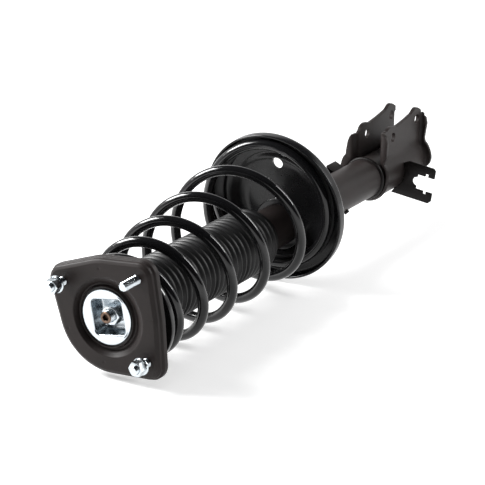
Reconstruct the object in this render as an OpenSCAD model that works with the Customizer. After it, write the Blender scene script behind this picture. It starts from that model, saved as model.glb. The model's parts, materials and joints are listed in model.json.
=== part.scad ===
// Front strut assembly: damper, coil spring, spring seats, top mount and knuckle bracket.
// The strut lies on its side. Its axis runs along +Y from the top mount to the bracket, and +Z is up.
// Distances called _y are measured along the axis from the front of the mount's bright cup.

/* [Top mount] */
// Radius of the plate's round body
plate_r = 62.8; // [60:0.2:66]
// Sideways place of the round body's centre
plate_x = 3; // [0:0.5:8]
// Height of the round body's centre
plate_z = 1.8; // [0:0.2:4]
// Radius of the three corner lobes
lobe_r = 15.5; // [15:0.5:19]
// How far the lobes lie outside their studs
lobe_out = 2.4; // [1:0.2:4]
// Thickness of the pressed plate
plate_t = 3; // [2:0.25:4]
// Depth of the plate's turned-down skirt
skirt_depth = 14; // [10:0.5:18]
// How far the skirt's foot steps out
skirt_step = 2; // [0.5:0.25:2.5]
// Distance that the plate's face stands in front of the cup
face_lead = 4.5; // [3:0.25:6]
// Width of the hollow round the bright cup, from the cup's edge to the hollow's shoulder
hollow_w = 15.4; // [13:0.2:19]
// Depth of the hollow below the plate's face
hollow_depth = 8; // [6:0.25:10]
// Radius of the bright cup's flange
cup_r = 30.6; // [29:0.1:33]
// Thickness of the cup's sheet
cup_t = 2; // [1.5:0.25:3]
// Width of the cup's square pocket
pocket_w = 37; // [32:0.5:38]
// Height of the cup's square pocket
pocket_h = 38; // [34:0.5:40]
// Turn of the cup's pocket about the axis, in degrees
pocket_turn = 10; // [0:1:15]
// Depth of the cup's pocket
pocket_depth = 19; // [16:0.5:21]
// Wall of rubber between the plate's inner lip and the lower plate's drawn shell
rubber_wall = 2.9; // [2:0.1:4]
// Thickness of the lower plate
shell_t = 2.5; // [2:0.25:3]
// Depth of the drawn shell behind the cup
shell_depth = 26; // [25:0.5:28]

/* [Mount studs] */
// Thread radius of the studs
stud_r = 5; // [4:0.5:6]
// Length of the studs in front of the plate
stud_len = 26; // [22:1:32]
// Distance of the upper left stud from the axis
stud_left_r = 61; // [58:0.5:64]
// Distance of the upper right stud from the axis
stud_right_r = 66; // [62:0.5:68]
// Distance of the lower stud from the axis
stud_low_r = 65.5; // [62:0.5:68]
// Width across the flats of the stud nuts
nut_flats = 15; // [13:0.5:17]
// Radius of the stud nuts' flange
nut_flange_r = 9.5; // [9:0.25:11]
// Height of a stud nut
nut_h = 11; // [9:0.5:13]

/* [Swivel bearing] */
// Radius of the bearing's balls
ball_r = 3.2; // [2.5:0.1:3.6]
// Radius of the circle of balls
ball_pitch_r = 29; // [28:0.25:30]
// Number of balls
ball_count = 18; // [12:1:22]
// Width of the bearing's races
race_w = 12; // [10:0.5:13]
// Thickness of one race
race_t = 3.5; // [3:0.25:4.5]

/* [Spring seats] */
// Lean of the spring and its seats, in degrees
lean = 6.5; // [5:0.5:8]
// Width of the upper seat's rim outside the coil
seat_margin = 1.5; // [1:0.25:6]
// Thickness of the upper seat's sheet
seat_t = 2.5; // [2:0.25:3.5]
// Gap between the lower plate's shell and the upper seat's hub
hub_gap = 2.5; // [2:0.25:5]
// Thickness of the upper rubber pad
top_pad_t = 3; // [2:0.5:5]
// Room between the coil and the wall of the lower seat's rim
dish_margin = 7; // [6.5:0.25:11]
// Distance of the lower seat's centre below the spring's leaning axis
dish_sink = 3.4; // [2:0.2:4]
// Sideways place of the lower seat's centre
dish_x = 4; // [2:0.5:5]
// Distance of the lower seat's rim along the axis
dish_y = 336; // [332:1:345]
// Thickness of the lower seat's sheet
dish_t = 3; // [2.5:0.25:4]
// Depth of the lower seat's rim
dish_rim = 12; // [10:0.5:14]
// Depth of the lower seat's pan below the coil's seat
pan_depth = 11; // [8:0.5:14]
// Radius of the lower seat's pan
pan_r = 59; // [56:0.5:60]
// Distance of the large drain hole inside the edge of the pan
drain_inset = 8; // [6:0.5:12]
// Radius of the lower seat's large drain hole
drain_r = 6.75; // [5:0.25:8]
// Thickness of the lower rubber pad
low_pad_t = 2; // [1.5:0.5:3]

/* [Coil spring] */
// Radius of the spring wire
wire_r = 6; // [5:0.25:7]
// Room between the boot and the coil's first turn
coil_room = 12; // [11:0.25:14]
// How much wider the coil's centre line lies in the lower seat than at its first turn
coil_flare = 18.5; // [14:0.5:20]
// Number of turns that rise from the first one to the lower seat
coil_turns = 5; // [4:1:6]
// Turns that lie flat in the upper seat
coil_flat_top = 0.45; // [0.3:0.05:0.6]
// Turns that lie flat in the lower seat
coil_flat_low = 0.75; // [0.5:0.05:0.8]

/* [Dust boot] */
// Outer radius of the boot's ribs
boot_r = 39; // [37:0.5:40]
// Depth of the grooves between the ribs
rib_depth = 3; // [2:0.25:4]
// Number of ribs
rib_count = 25; // [18:1:30]
// Wall of the boot
boot_wall = 1.4; // [1:0.1:2]
// Gap between the boot's lower end and the floor of the lower seat's pan
boot_end_gap = 59; // [50:1:70]
// Length of the boot's plain collar at the upper seat
boot_collar = 14; // [10:1:20]
// Length of the boot's plain collar on the tube
boot_foot = 8; // [7:0.5:12]

/* [Damper] */
// Radius of the strut tube
tube_r = 25.5; // [25:0.25:26]
// Wall of the strut tube
tube_wall = 2.5; // [2:0.25:3]
// Distance of the tube's closed top along the axis
tube_top_y = 200; // [195:1:220]
// Distance of the tube's foot along the axis
tube_end_y = 695; // [690:1:700]
// Thickness of the tube's top cap
cap_t = 4; // [3:0.5:6]
// Radius of the piston rod
rod_r = 11; // [10:0.25:11.5]
// Radius of the rod's threaded ends
rod_thread_r = 7; // [6:0.5:8]
// Distance that the rod's tip stands in front of the cup
rod_tip_lead = 2; // [0:0.5:4]
// Bore radius of the pressure tube
bore_r = 16; // [15:0.25:17]
// Wall of the pressure tube
bore_wall = 1.5; // [1:0.25:2]
// Length of the rod guide
guide_len = 28; // [20:1:32]
// Length of the bump stop
bump_len = 55; // [45:1:56]
// Radius of the bump stop
bump_r = 24; // [22:0.5:26]

/* [Knuckle bracket] */
// Distance of the bracket's front edge along the axis
sleeve_y = 582; // [570:1:590]
// Wall of the bracket's sheet
bracket_t = 4.5; // [4:0.25:5]
// Width of the gap between the two ears
ear_gap = 33; // [30:0.5:36]
// Distance of the bracket's rear edge along the axis
ear_end_y = 704; // [700:1:710]
// Radius of the knuckle bolt holes
bolt_r = 6.25; // [5:0.25:8]
// Distance of the front bolt hole along the axis
bolt1_y = 619; // [615:1:622]
// Height of the front bolt hole above the axis
bolt1_z = 49; // [46:0.5:50]
// Distance of the rear bolt hole along the axis
bolt2_y = 688; // [686:1:689]
// Height of the rear bolt hole above the axis
bolt2_z = 58; // [56:0.5:60]
// Radius of the ears' round corners
ear_corner_r = 14; // [13:0.5:15]
// Width of the ears' turned-out front flanges
front_flange_w = 10; // [6:0.5:12]
// Width of the ears' turned-out rear flanges
rear_flange_w = 8.6; // [6:0.2:12]

/* [Hose and wire brackets] */
// Distance of the hose bracket along the axis
hose_y = 638; // [625:1:650]
// Thickness of the hose bracket's sheet
hose_t = 3; // [2:0.25:4]
// Reach of the hose bracket from the axis
hose_reach = 73; // [68:0.5:80]
// Height of the slot for the hose fitting
slot_h = 20; // [16:0.5:22]
// Depth of the slot for the hose fitting
slot_depth = 24; // [20:0.5:28]
// Turn of the hose bracket about the axis, in degrees
hose_turn = 7.5; // [0:0.5:10]
// Distance of the wire clip along the axis
clip_y = 526; // [470:1:550]
// Width of the wire clip
clip_w = 23; // [12:1:24]
// Reach of the wire clip from the tube
clip_reach = 14; // [8:0.5:16]
// Place of the wire clip round the tube, in degrees from the side
clip_at = 120; // [100:1:140]
// Distance of the small tab along the axis
tab_y = 498; // [440:1:510]

/* [Hidden] */
$fn = 72;

eps = 0.02;          // overlap that keeps cuts clean
seat_gap = 0.3;      // gap between pieces that move against each other
run_gap = 0.05;      // radial clearance of running fits
fit_gap = 0.1;       // clearance of pieces that slip into each other

satin = [0.24, 0.22, 0.21];
gloss = [0.06, 0.06, 0.065];
rubber = [0.09, 0.09, 0.09];
zinc = [0.8, 0.82, 0.85];
steel = [0.62, 0.63, 0.65];

// Top mount
face_y = -face_lead;
skirt_y = face_y + skirt_depth;
// Each stud's distance from the axis, its angle, and the turn of its lobe
studs = [[stud_left_r, 149, 1.5], [stud_right_r, 51, 0], [stud_low_r, -35.5, -3]];
nutted = [0, 2];
function stud_at(i) = [studs[i][0] * cos(studs[i][1]), studs[i][0] * sin(studs[i][1])];
nut_flange_t = 2;
nut_y = face_y - stud_len + 4;
groove_y = face_y + hollow_depth;
hollow_r = cup_r + hollow_w;
hollow_bend = hollow_depth / 2;
groove_r = hollow_r - hollow_depth;
lip_r = cup_r + 2.5;
lip_y = face_y + hollow_depth * 0.55;
pocket_corner = 5;
rod_hole_r = rod_thread_r + 0.3;
stud_neck_r = stud_r + 0.3;
shell_r = lip_r + rubber_wall + shell_t;
shell_hole_r = rod_r + 5;

// Swivel bearing
ball_y = shell_depth + race_t + 1.7;
race_gap = 1.7;
low_race_y = ball_y + race_gap;
clip_slope = 158;
hub_y = low_race_y + race_t;
hub_r = shell_r + hub_gap + seat_t;
hub_hole_r = shell_hole_r + 4;

// Spring frame: its origin is on the strut axis and its own axis leans up by the lean
spring_y = 62;
dish_lift = (dish_y - spring_y) * tan(lean) - dish_sink;
coil_top_r = boot_r + coil_room + wire_r;
coil_low_r = coil_top_r + coil_flare;
seat_r = coil_top_r + wire_r + seat_margin;
dish_r = coil_low_r + wire_r + dish_margin + dish_t;
dish_w = (dish_y - spring_y) * cos(lean) + dish_lift * sin(lean);
dish_drop = dish_sink * cos(lean);
coil_top_w = -24;
coil_low_w = dish_w + dish_rim - low_pad_t - seat_gap - wire_r;
top_pad_w = coil_top_w - wire_r - seat_gap - top_pad_t;
seat_w = top_pad_w - seat_t;
seat_lip = 6;
pad_inner_r = coil_top_r - wire_r - 2;
phase = 95.8;
rings_per_turn = 24;
wire_sides = 6;

// Damper
cap_y = tube_top_y;
seal_y = cap_y + cap_t;
seal_len = 8;
guide_y = seal_y + seal_len;
guide_end_y = guide_y + guide_len;
tube_in_r = tube_r - tube_wall;
cushion_len = 6;
stop_len = 6;
cushion_y = guide_end_y + seat_gap;
stop_y = cushion_y + cushion_len;
stop_r = bore_r - 1.5;
piston_y = stop_y + stop_len + 10;
piston_len = 22;
piston_nut_h = 9;
rod_end_y = piston_y + piston_len + piston_nut_h + 2;
rod_shoulder_y = pocket_depth + cup_t;
base_t = 7;
base_y = tube_end_y - base_t;
foot_len = 24;
foot_y = base_y - foot_len;
bore_end_y = foot_y + 12;
bump_y = hub_y + seat_t;
boot_top_y = hub_y + seat_t + seat_gap;
pan_y = dish_rim + pan_depth;
boot_end_y = dish_y + pan_y - boot_end_gap;
neck_y = dish_y + pan_y - 1;
neck_len = 20;

// Knuckle bracket
sleeve_r = tube_r + bracket_t;
ear_x = ear_gap / 2;
ear_low_z = 14;
split_gap = 0.6;
front_flange_y = sleeve_y + 4;
collar_lip = 1.6;
bend_r = 4;          // inner bend between the sleeve and an ear
bend_x = ear_x + bend_r;
bend_z = sqrt(pow(tube_r + bend_r, 2) - bend_x * bend_x);

// The lowest edge is that of the upper seat, the lower seat or the plate's skirt
seat_reach = seat_r * cos(lean) - seat_w * sin(lean);
dish_reach = dish_r * cos(lean) - dish_lift;
plate_reach = plate_r + skirt_step - plate_z;
axis_h = max(seat_reach, dish_reach, plate_reach);
front_y = face_y - stud_len;
mid_y = (front_y + ear_end_y) / 2;

// Places a piece that is drawn about the strut axis in the part's frame, whose origin is the middle of the
// part on the ground. The lower seat is the widest piece, so its shift is the shift of the middle.
module place() {
    translate([-dish_x, -mid_y, axis_h]) children();
}

// Turns a piece that is drawn about +Z so that it runs along the strut from y
module along(y) {
    translate([0, y, 0]) rotate([-90, 0, 0]) children();
}

// Extrudes an outline in the X-Z plane along the strut from y
module slab(y, t) {
    translate([0, y + t, 0]) rotate([90, 0, 0]) linear_extrude(t) children();
}

// Extrudes an outline in the Y-Z plane across the strut from x
module cheek(x, t) {
    translate([x, 0, 0]) rotate([90, 0, 90]) linear_extrude(t) children();
}

// The leaning frame of the spring
module leaning() {
    translate([0, spring_y, 0]) rotate([lean, 0, 0]) children();
}

// The leaning frame of the lower seat
module leaning_dish() {
    translate([dish_x, dish_y, dish_lift]) rotate([lean, 0, 0]) children();
}

module disc(y, r, h) {
    along(y) cylinder(r = r, h = h);
}

module ring(y, r_in, r_out, h) {
    along(y) difference() {
        cylinder(r = r_out, h = h);
        translate([0, 0, -1]) cylinder(r = r_in, h = h + 2);
    }
}

// Points of an arc, from angle a to angle b
function arc(cx, cy, r, a, b, n = 8) =
    [for (i = [0:n]) [cx + r * cos(a + (b - a) * i / n), cy + r * sin(a + (b - a) * i / n)]];

// Points of the arc about c that runs anticlockwise from p to q
function arc_past(c, p, q, n) =
    let (a = atan2(p[1] - c[1], p[0] - c[0]), b = atan2(q[1] - c[1], q[0] - c[0]))
    arc(c[0], c[1], norm(p - c), a, b < a ? b + 360 : b, n);

// Outer tangent points between two circles that are passed anticlockwise
function tangent(a, ra, b, rb) =
    let (d = b - a, l = norm(d), t = atan2(d[1], d[0]) - acos((ra - rb) / l))
    [a + ra * [cos(t), sin(t)], b + rb * [cos(t), sin(t)]];

// Outline of the mount plate: a round body and three lobes, joined by tangents
plate_c = [plate_x, plate_z];
function lobe_at(i) =
    let (angle = studs[i][1] + studs[i][2]) (studs[i][0] + lobe_out) * [cos(angle), sin(angle)];
lobes = [lobe_at(2), lobe_at(1), lobe_at(0)];
module plate_outline(grow) {
    r = lobe_r + grow;
    body = plate_r + grow;
    right_edge = tangent(lobes[0], r, lobes[1], r);
    top_right = tangent(lobes[1], r, plate_c, body);
    top_left = tangent(plate_c, body, lobes[2], r);
    left_edge = tangent(lobes[2], r, plate_c, body);
    low_edge = tangent(plate_c, body, lobes[0], r);
    polygon(concat(
        arc_past(lobes[0], low_edge[1], right_edge[0], 14),
        arc_past(lobes[1], right_edge[1], top_right[0], 12),
        arc_past(plate_c, top_right[1], top_left[0], 16),
        arc_past(lobes[2], top_left[1], left_edge[0], 14),
        arc_past(plate_c, left_edge[1], low_edge[0], 40)
    ));
}

// The drawn ring in the middle of the plate: rolled shoulder, round groove and inner lip
module plate_hollow() {
    shoulder = hollow_r + plate_t;
    outer = concat(
        [[shoulder, face_y]],
        arc(hollow_r, face_y + hollow_bend, hollow_bend, -90, -180, 4),
        [for (i = [1:8]) let (a = 180 * i / 8)
            [groove_r + hollow_bend * cos(a), groove_y + hollow_bend * (sin(a) - 1)]],
        [[lip_r, lip_y]]
    );
    inner = [
        [lip_r, lip_y + plate_t], [groove_r - 3.5, groove_y + plate_t],
        [groove_r + 5, groove_y + plate_t], [hollow_r + 0.5, face_y + plate_t + 1.5],
        [shoulder, face_y + plate_t]
    ];
    along(0) rotate_extrude() polygon(concat(outer, inner));
}

module mount_plate() {
    color(satin) place() {
        difference() {
            union() {
                slab(face_y, skirt_depth) plate_outline(0);
                slab(skirt_y - skirt_depth * 0.45, skirt_depth * 0.45) plate_outline(skirt_step);
            }
            slab(face_y + plate_t, skirt_depth) plate_outline(-plate_t);
            disc(face_y - 1, hollow_r + plate_t - 0.5, plate_t + 2);
            for (i = [0:2]) at_stud(i) disc(face_y - 1, stud_neck_r + fit_gap, plate_t + 2);
        }
        plate_hollow();
    }
}

module mount_lower_plate() {
    color(satin) place() {
        difference() {
            union() {
                slab(skirt_y - shell_t, shell_t) plate_outline(-plate_t - fit_gap);
                disc(skirt_y - shell_t, shell_r, shell_depth - skirt_y + shell_t);
            }
            disc(skirt_y - shell_t - 1, shell_r - shell_t, shell_depth - skirt_y + 1);
            disc(0, shell_hole_r, shell_depth + 1);
        }
    }
}

module pocket_block(y, grow, h) {
    w = pocket_w + 2 * grow;
    d = pocket_h + 2 * grow;
    r = pocket_corner + grow;
    slab(y, h) rotate(pocket_turn) {
        square([w - 2 * r, d], center = true);
        square([w, d - 2 * r], center = true);
        for (x = [-1, 1], z = [-1, 1]) translate([x * (w / 2 - r), z * (d / 2 - r)]) circle(r = r);
    }
}

module mount_rubber() {
    top_y = groove_y + plate_t + 0.5;
    color(rubber) place() difference() {
        union() {
            disc(top_y, shell_r - shell_t - fit_gap, shell_depth - shell_t - top_y - fit_gap);
            disc(cup_t + fit_gap, lip_r - fit_gap, shell_depth - shell_t - cup_t - 1);
        }
        pocket_block(-1, cup_t + fit_gap, pocket_depth + 1 + cup_t + fit_gap);
        disc(0, shell_hole_r, shell_depth);
    }
}

module mount_cup() {
    color(zinc) place() difference() {
        union() {
            disc(0, cup_r, cup_t);
            pocket_block(0, cup_t, pocket_depth + cup_t);
        }
        pocket_block(-1, 0, pocket_depth + 1);
        disc(pocket_depth - 1, rod_hole_r, cup_t + 2);
    }
}

module at_stud(i) {
    translate([stud_at(i)[0], 0, stud_at(i)[1]]) children();
}

// Each stud has a flat head behind the plate, a wider neck in it and a chamfered thread in front of it
module mount_studs() {
    head_t = 2.5;
    tip = 1.2;
    color(zinc) place() for (i = [0:2]) at_stud(i) {
        disc(face_y + plate_t, stud_r + 3, head_t);
        disc(face_y, stud_neck_r, plate_t + eps);
        disc(front_y + tip, stud_r, stud_len - tip + eps);
        along(front_y) cylinder(r1 = stud_r - tip, r2 = stud_r, h = tip);
    }
}

module hex_prism(y, flats, h) {
    along(y) cylinder(r = flats / sqrt(3), h = h, $fn = 6);
}

module stud_nuts() {
    color(zinc) place() for (i = nutted) at_stud(i) difference() {
        union() {
            hex_prism(nut_y, nut_flats, nut_h - nut_flange_t + eps);
            disc(nut_y + nut_h - nut_flange_t, nut_flange_r, nut_flange_t);
        }
        disc(nut_y - 1, stud_r + fit_gap / 2, nut_h + 2);
    }
}

washer_t = 2.5;
washer_r = 11;
rod_nut_flats = 20;
rod_nut_h = 11;
module rod_washer() {
    color(zinc) place() ring(pocket_depth - washer_t, rod_hole_r - 0.2, washer_r, washer_t);
}

module rod_nut() {
    color(zinc) place() difference() {
        hex_prism(pocket_depth - washer_t - rod_nut_h, rod_nut_flats, rod_nut_h);
        disc(0, rod_thread_r + fit_gap / 2, pocket_depth);
    }
}

module ball_groove() {
    along(ball_y) rotate_extrude() translate([ball_pitch_r, 0]) circle(r = ball_r + run_gap);
}

module bearing_upper_race() {
    color(steel) place() difference() {
        ring(shell_depth, ball_pitch_r - race_w / 2, ball_pitch_r + race_w / 2, race_t);
        ball_groove();
    }
}

module bearing_lower_race() {
    color(steel) place() difference() {
        ring(low_race_y, ball_pitch_r - race_w / 2, ball_pitch_r + race_w / 2, race_t);
        ball_groove();
    }
}

module ball_circle() {
    for (i = [0:ball_count - 1])
        rotate([0, i * 360 / ball_count, 0]) translate([ball_pitch_r, ball_y, 0]) children();
}

module bearing_balls() {
    color(steel) place() ball_circle() sphere(r = ball_r, $fn = 32);
}

module bearing_cage() {
    cage_t = 1.4;
    color([0.3, 0.3, 0.28]) place() difference() {
        ring(ball_y - cage_t / 2, ball_pitch_r - ball_r - 1, ball_pitch_r + ball_r + 1, cage_t);
        ball_circle() rotate([90, 0, 0]) cylinder(r = ball_r + run_gap, h = 3 * cage_t, center = true);
    }
}

// Flat hub that carries the bearing, a shell round it and a leaning flange for the spring
module upper_spring_seat() {
    color(satin) place() {
        difference() {
            union() {
                disc(hub_y, hub_r, seat_t);
                intersection() {
                    disc(0, hub_r, hub_y + seat_t);
                    leaning() disc(seat_w, seat_r, hub_y + spring_y);
                }
                leaning() disc(seat_w, seat_r, seat_t);
                leaning() ring(seat_w, seat_r - seat_t, seat_r, seat_lip);
            }
            disc(-1, hub_r - seat_t, hub_y + 1);
            disc(hub_y - 1, hub_hole_r, seat_t + 2);
        }
    }
}

module upper_spring_pad() {
    color(rubber) place() leaning() ring(top_pad_w, pad_inner_r, seat_r - seat_t - fit_gap, top_pad_t);
}

// Moulded foam stop with three waists
module bump_stop() {
    waist = 3;
    step = bump_len / 3;
    bulge = [[0, 0.1], [0, 0.55], [waist, 0.8], [waist, 0.9]];
    outer = [for (i = [0:2], p = bulge) [bump_r - p[0] - i * 1.5, bump_y + (i + p[1]) * step]];
    color([0.75, 0.68, 0.45]) place() along(0) rotate_extrude() polygon(concat(
        [[rod_r + 0.5, bump_y], [bump_r - 2, bump_y]], outer,
        [[bump_r - 7, bump_y + bump_len], [rod_r + 0.5, bump_y + bump_len]]
    ));
}

// Ribbed boot: plain collars, ribs between them and a lip that seats on the tube
module dust_boot() {
    first = boot_top_y + boot_collar;
    last = boot_end_y - boot_foot;
    pitch = (last - first) / rib_count;
    low_r = boot_r - rib_depth;
    rib = [[low_r, 0.05], [boot_r, 0.3], [boot_r, 0.7], [low_r, 0.95]];
    rib_inside = [[low_r, 0.9], [boot_r, 0.65], [boot_r, 0.35], [low_r, 0.1]];
    outer = [for (i = [0:rib_count - 1], p = rib) [p[0], first + (i + p[1]) * pitch]];
    inner = [for (i = [rib_count - 1:-1:0], p = rib_inside) [p[0] - boot_wall, first + (i + p[1]) * pitch]];
    end_r = boot_r - 0.5;
    color(rubber) place() along(0) rotate_extrude() polygon(concat(
        [[end_r - 3 * boot_wall, boot_top_y], [end_r, boot_top_y], [end_r, first]], outer,
        [[low_r, last], [low_r, boot_end_y - 2], [low_r - 2, boot_end_y],
         [tube_r + fit_gap, boot_end_y], [tube_r + fit_gap, boot_end_y - 2 * boot_wall],
         [low_r - boot_wall, boot_end_y - 2 * boot_wall], [low_r - boot_wall, last]],
        inner,
        [[end_r - boot_wall, first], [end_r - boot_wall, boot_top_y + boot_wall],
         [end_r - 3 * boot_wall, boot_top_y + boot_wall]]
    ));
}

// Coil centre line. Its pitch grows with each turn, and its ends lie flat in the seats.
coil_rise = coil_low_w - coil_top_w;
pitch_growth = 9.6;
lead = 2.5;          // softness of the bends where the coil leaves its seats
radius_growth = 0.66;
first_pitch = coil_rise / coil_turns - pitch_growth * coil_turns / 2;
function soft_max(a, b, k) = (a + b + sqrt((a - b) * (a - b) + k * k)) / 2;
function coil_free_w(t) = coil_top_w + first_pitch * t + pitch_growth * max(t, 0) * max(t, 0) / 2;
function coil_w(t) = -soft_max(-soft_max(coil_free_w(t), coil_top_w, lead), -coil_low_w, lead);
first_flare = (coil_low_r + 3 - coil_top_r) / coil_turns - radius_growth * coil_turns / 2;
function coil_free_r(t) = coil_top_r + first_flare * t + radius_growth * t * t / 2;
function coil_r(t) = -soft_max(-coil_free_r(max(t, 0)), -coil_low_r, 1);
function coil_point(t) = [coil_r(t) * cos(phase - 360 * t), coil_w(t), coil_r(t) * sin(phase - 360 * t)];
coil_from = -coil_flat_top;
coil_to = coil_turns + coil_flat_low;
coil_rings = ceil((coil_to - coil_from) * rings_per_turn);
coil_path = [for (i = [0:coil_rings]) coil_point(coil_from + (coil_to - coil_from) * i / coil_rings)];

// Points of the wire's ring i, square to the path
function unit(v) = v / norm(v);
function wire_ring(path, i, r, sides) =
    let (
        last = len(path) - 1,
        d = unit(path[min(i + 1, last)] - path[max(i - 1, 0)]),
        out = unit([path[i][0], 0, path[i][2]]),
        side = unit(cross(d, out)),
        up = cross(side, d)
    )
    [for (k = [0:sides - 1]) path[i] + r * (cos(360 * k / sides) * side - sin(360 * k / sides) * up)];

module swept(path, r, sides) {
    n = len(path);
    points = [for (i = [0:n - 1], p = wire_ring(path, i, r, sides)) p];
    walls = [for (i = [0:n - 2], k = [0:sides - 1])
        let (a = i * sides + k, b = i * sides + (k + 1) % sides)
        for (f = [[a, a + sides, b], [b, a + sides, b + sides]]) f];
    last = (n - 1) * sides;
    first_cap = [for (k = [1:sides - 2]) [0, k, k + 1]];
    last_cap = [for (k = [1:sides - 2]) [last, last + k + 1, last + k]];
    polyhedron(points = points, faces = concat(walls, first_cap, last_cap));
}

// Least distance between points that are at least three quarters of a turn apart, less the wire
coil_gap = min([for (i = [0:coil_rings], j = [i + ceil(rings_per_turn * 0.75):coil_rings])
    norm(coil_path[i] - coil_path[j])]) - 2 * wire_r;
echo(coil_least_gap_mm = coil_gap);  // coil_spring

module coil_spring() {
    color(gloss) place() leaning() swept(coil_path, wire_r, wire_sides);
}

module lower_spring_pad() {
    color(rubber) place() leaning_dish()
        translate([-dish_x, 0, dish_drop])
            ring(dish_rim - low_pad_t, coil_low_r - wire_r - 0.5, coil_low_r + wire_r + 0.5, low_pad_t);
}

// Pressed dish: rolled rim, flat channel for the coil, sloping step, pan and a neck on the tube
module lower_spring_seat() {
    channel_r = pan_r + 5;
    lip_round = dish_t / 2;
    bend = 6;
    small_hole_r = 2;
    face = concat(
        arc(dish_r - lip_round, lip_round, lip_round, 0, -180, 6),
        [[dish_r - 2 * lip_round, dish_rim], [channel_r, dish_rim], [pan_r, pan_y], [0, pan_y]]
    );
    back = concat(
        [[0, pan_y + dish_t], [pan_r + 1.5, pan_y + dish_t], [channel_r + 1.5, dish_rim + dish_t]],
        arc(dish_r - bend, dish_rim + dish_t - bend, bend, 90, 0, 4)
    );
    color(gloss) place() difference() {
        union() {
            leaning_dish() along(0) rotate_extrude($fn = 120) polygon(concat(face, back));
            disc(neck_y, tube_r + dish_t, neck_len);
        }
        disc(dish_y, tube_r, pan_y + neck_len + dish_t);
        leaning_dish() translate([-3, 0, pan_r - drain_inset]) disc(0, drain_r, 2 * pan_y);
        for (a = [98, -43])
            rotate([0, -a, 0]) translate([tube_r + dish_t + small_hole_r + 1, 0, 0])
                disc(dish_y, small_hole_r, 2 * pan_y);
    }
}

module strut_tube() {
    color(satin) place() ring(cap_y + cap_t, tube_in_r, tube_r, tube_end_y - cap_y - cap_t);
}

module tube_top_cap() {
    color(steel) place() ring(cap_y, rod_r + 0.6, tube_r, cap_t);
}

module rod_seal() {
    color(rubber) place() ring(seal_y, rod_r + run_gap, tube_in_r - run_gap, seal_len);
}

module rod_guide() {
    color(steel) place() ring(guide_y, rod_r + run_gap, tube_in_r - run_gap, guide_len);
}

module pressure_tube() {
    color(steel) place() ring(guide_end_y, bore_r, bore_r + bore_wall, bore_end_y - guide_end_y);
}

// Hard chromed rod with a threaded end for the mount and a thinner end for the piston
module piston_rod() {
    socket_r = 3.4;
    socket_depth = 6;
    chamfer = 1;
    color(steel) place() difference() {
        union() {
            along(-rod_tip_lead) cylinder(r1 = rod_thread_r - chamfer, r2 = rod_thread_r, h = chamfer);
            disc(chamfer - rod_tip_lead, rod_thread_r, rod_shoulder_y + rod_tip_lead);
            disc(rod_shoulder_y, rod_r, piston_y - rod_shoulder_y);
            disc(piston_y - 1, rod_thread_r, rod_end_y - piston_y + 1);
        }
        along(-rod_tip_lead - 1) cylinder(r = socket_r, h = socket_depth + 1, $fn = 6);
    }
}

module rebound_cushion() {
    color(rubber) place() ring(cushion_y, rod_r, stop_r, cushion_len);
}

module rebound_stop() {
    color(steel) place() ring(stop_y, rod_r, stop_r, stop_len);
}

module piston() {
    color(steel) place() difference() {
        ring(piston_y, rod_thread_r, bore_r - run_gap, piston_len);
        ring(piston_y + 5, bore_r - 1, bore_r + 1, piston_len - 10);
    }
}

module piston_band() {
    color([0.2, 0.28, 0.24]) place() ring(piston_y + 5, bore_r - 1, bore_r - run_gap, piston_len - 10);
}

module piston_nut() {
    color(steel) place() difference() {
        hex_prism(piston_y + piston_len, 20, piston_nut_h);
        disc(piston_y, rod_thread_r, 60);
    }
}

// Base valve: a plug in the pressure tube, a flange under its end and a stool on the tube's base
module foot_valve() {
    stool_r = bore_r + bore_wall + 2;
    color(steel) place() {
        disc(foot_y, bore_r - fit_gap, bore_end_y - foot_y + 1);
        disc(bore_end_y, stool_r, 4);
        ring(bore_end_y + 3, bore_r - 2, stool_r, base_y - bore_end_y - 3);
    }
}

module tube_base_cap() {
    color(satin) place() disc(base_y, tube_in_r - run_gap, base_t);
}

// Outline of an ear in the Y-Z plane: two long round corners at the bolts on a body that reaches the tube.
// corner_z is the height at which the front flange ends.
module ear_outline(corner_z) {
    c1 = [bolt1_y, bolt1_z];
    c2 = [bolt2_y + 0.5, bolt2_z];
    shoulder1 = c1 + [-7.5, 1.8];
    shoulder2 = c2 + [-6, 0.5];
    r1 = ear_corner_r;
    r2 = ear_corner_r + 1;
    foot_y0 = sleeve_y + 6;
    dip = c1 + [9.5, r1 - 1.3];
    hull() for (c = [c1, shoulder1]) translate(c) circle(r = r1);
    hull() for (c = [c2, shoulder2]) translate(c) circle(r = r2);
    polygon([
        [foot_y0, ear_low_z], [foot_y0, corner_z], shoulder1 + r1 * [cos(150), sin(150)], c1,
        c1 + r1 * [cos(65), sin(65)], dip, dip + [14, 1.8],
        shoulder2 + r2 * [cos(140), sin(140)], c2,
        c2 + r2 * [1, 0], [ear_end_y - bracket_t / 2, c2[1]], [ear_end_y - bracket_t / 2, ear_low_z]
    ]);
}

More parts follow.
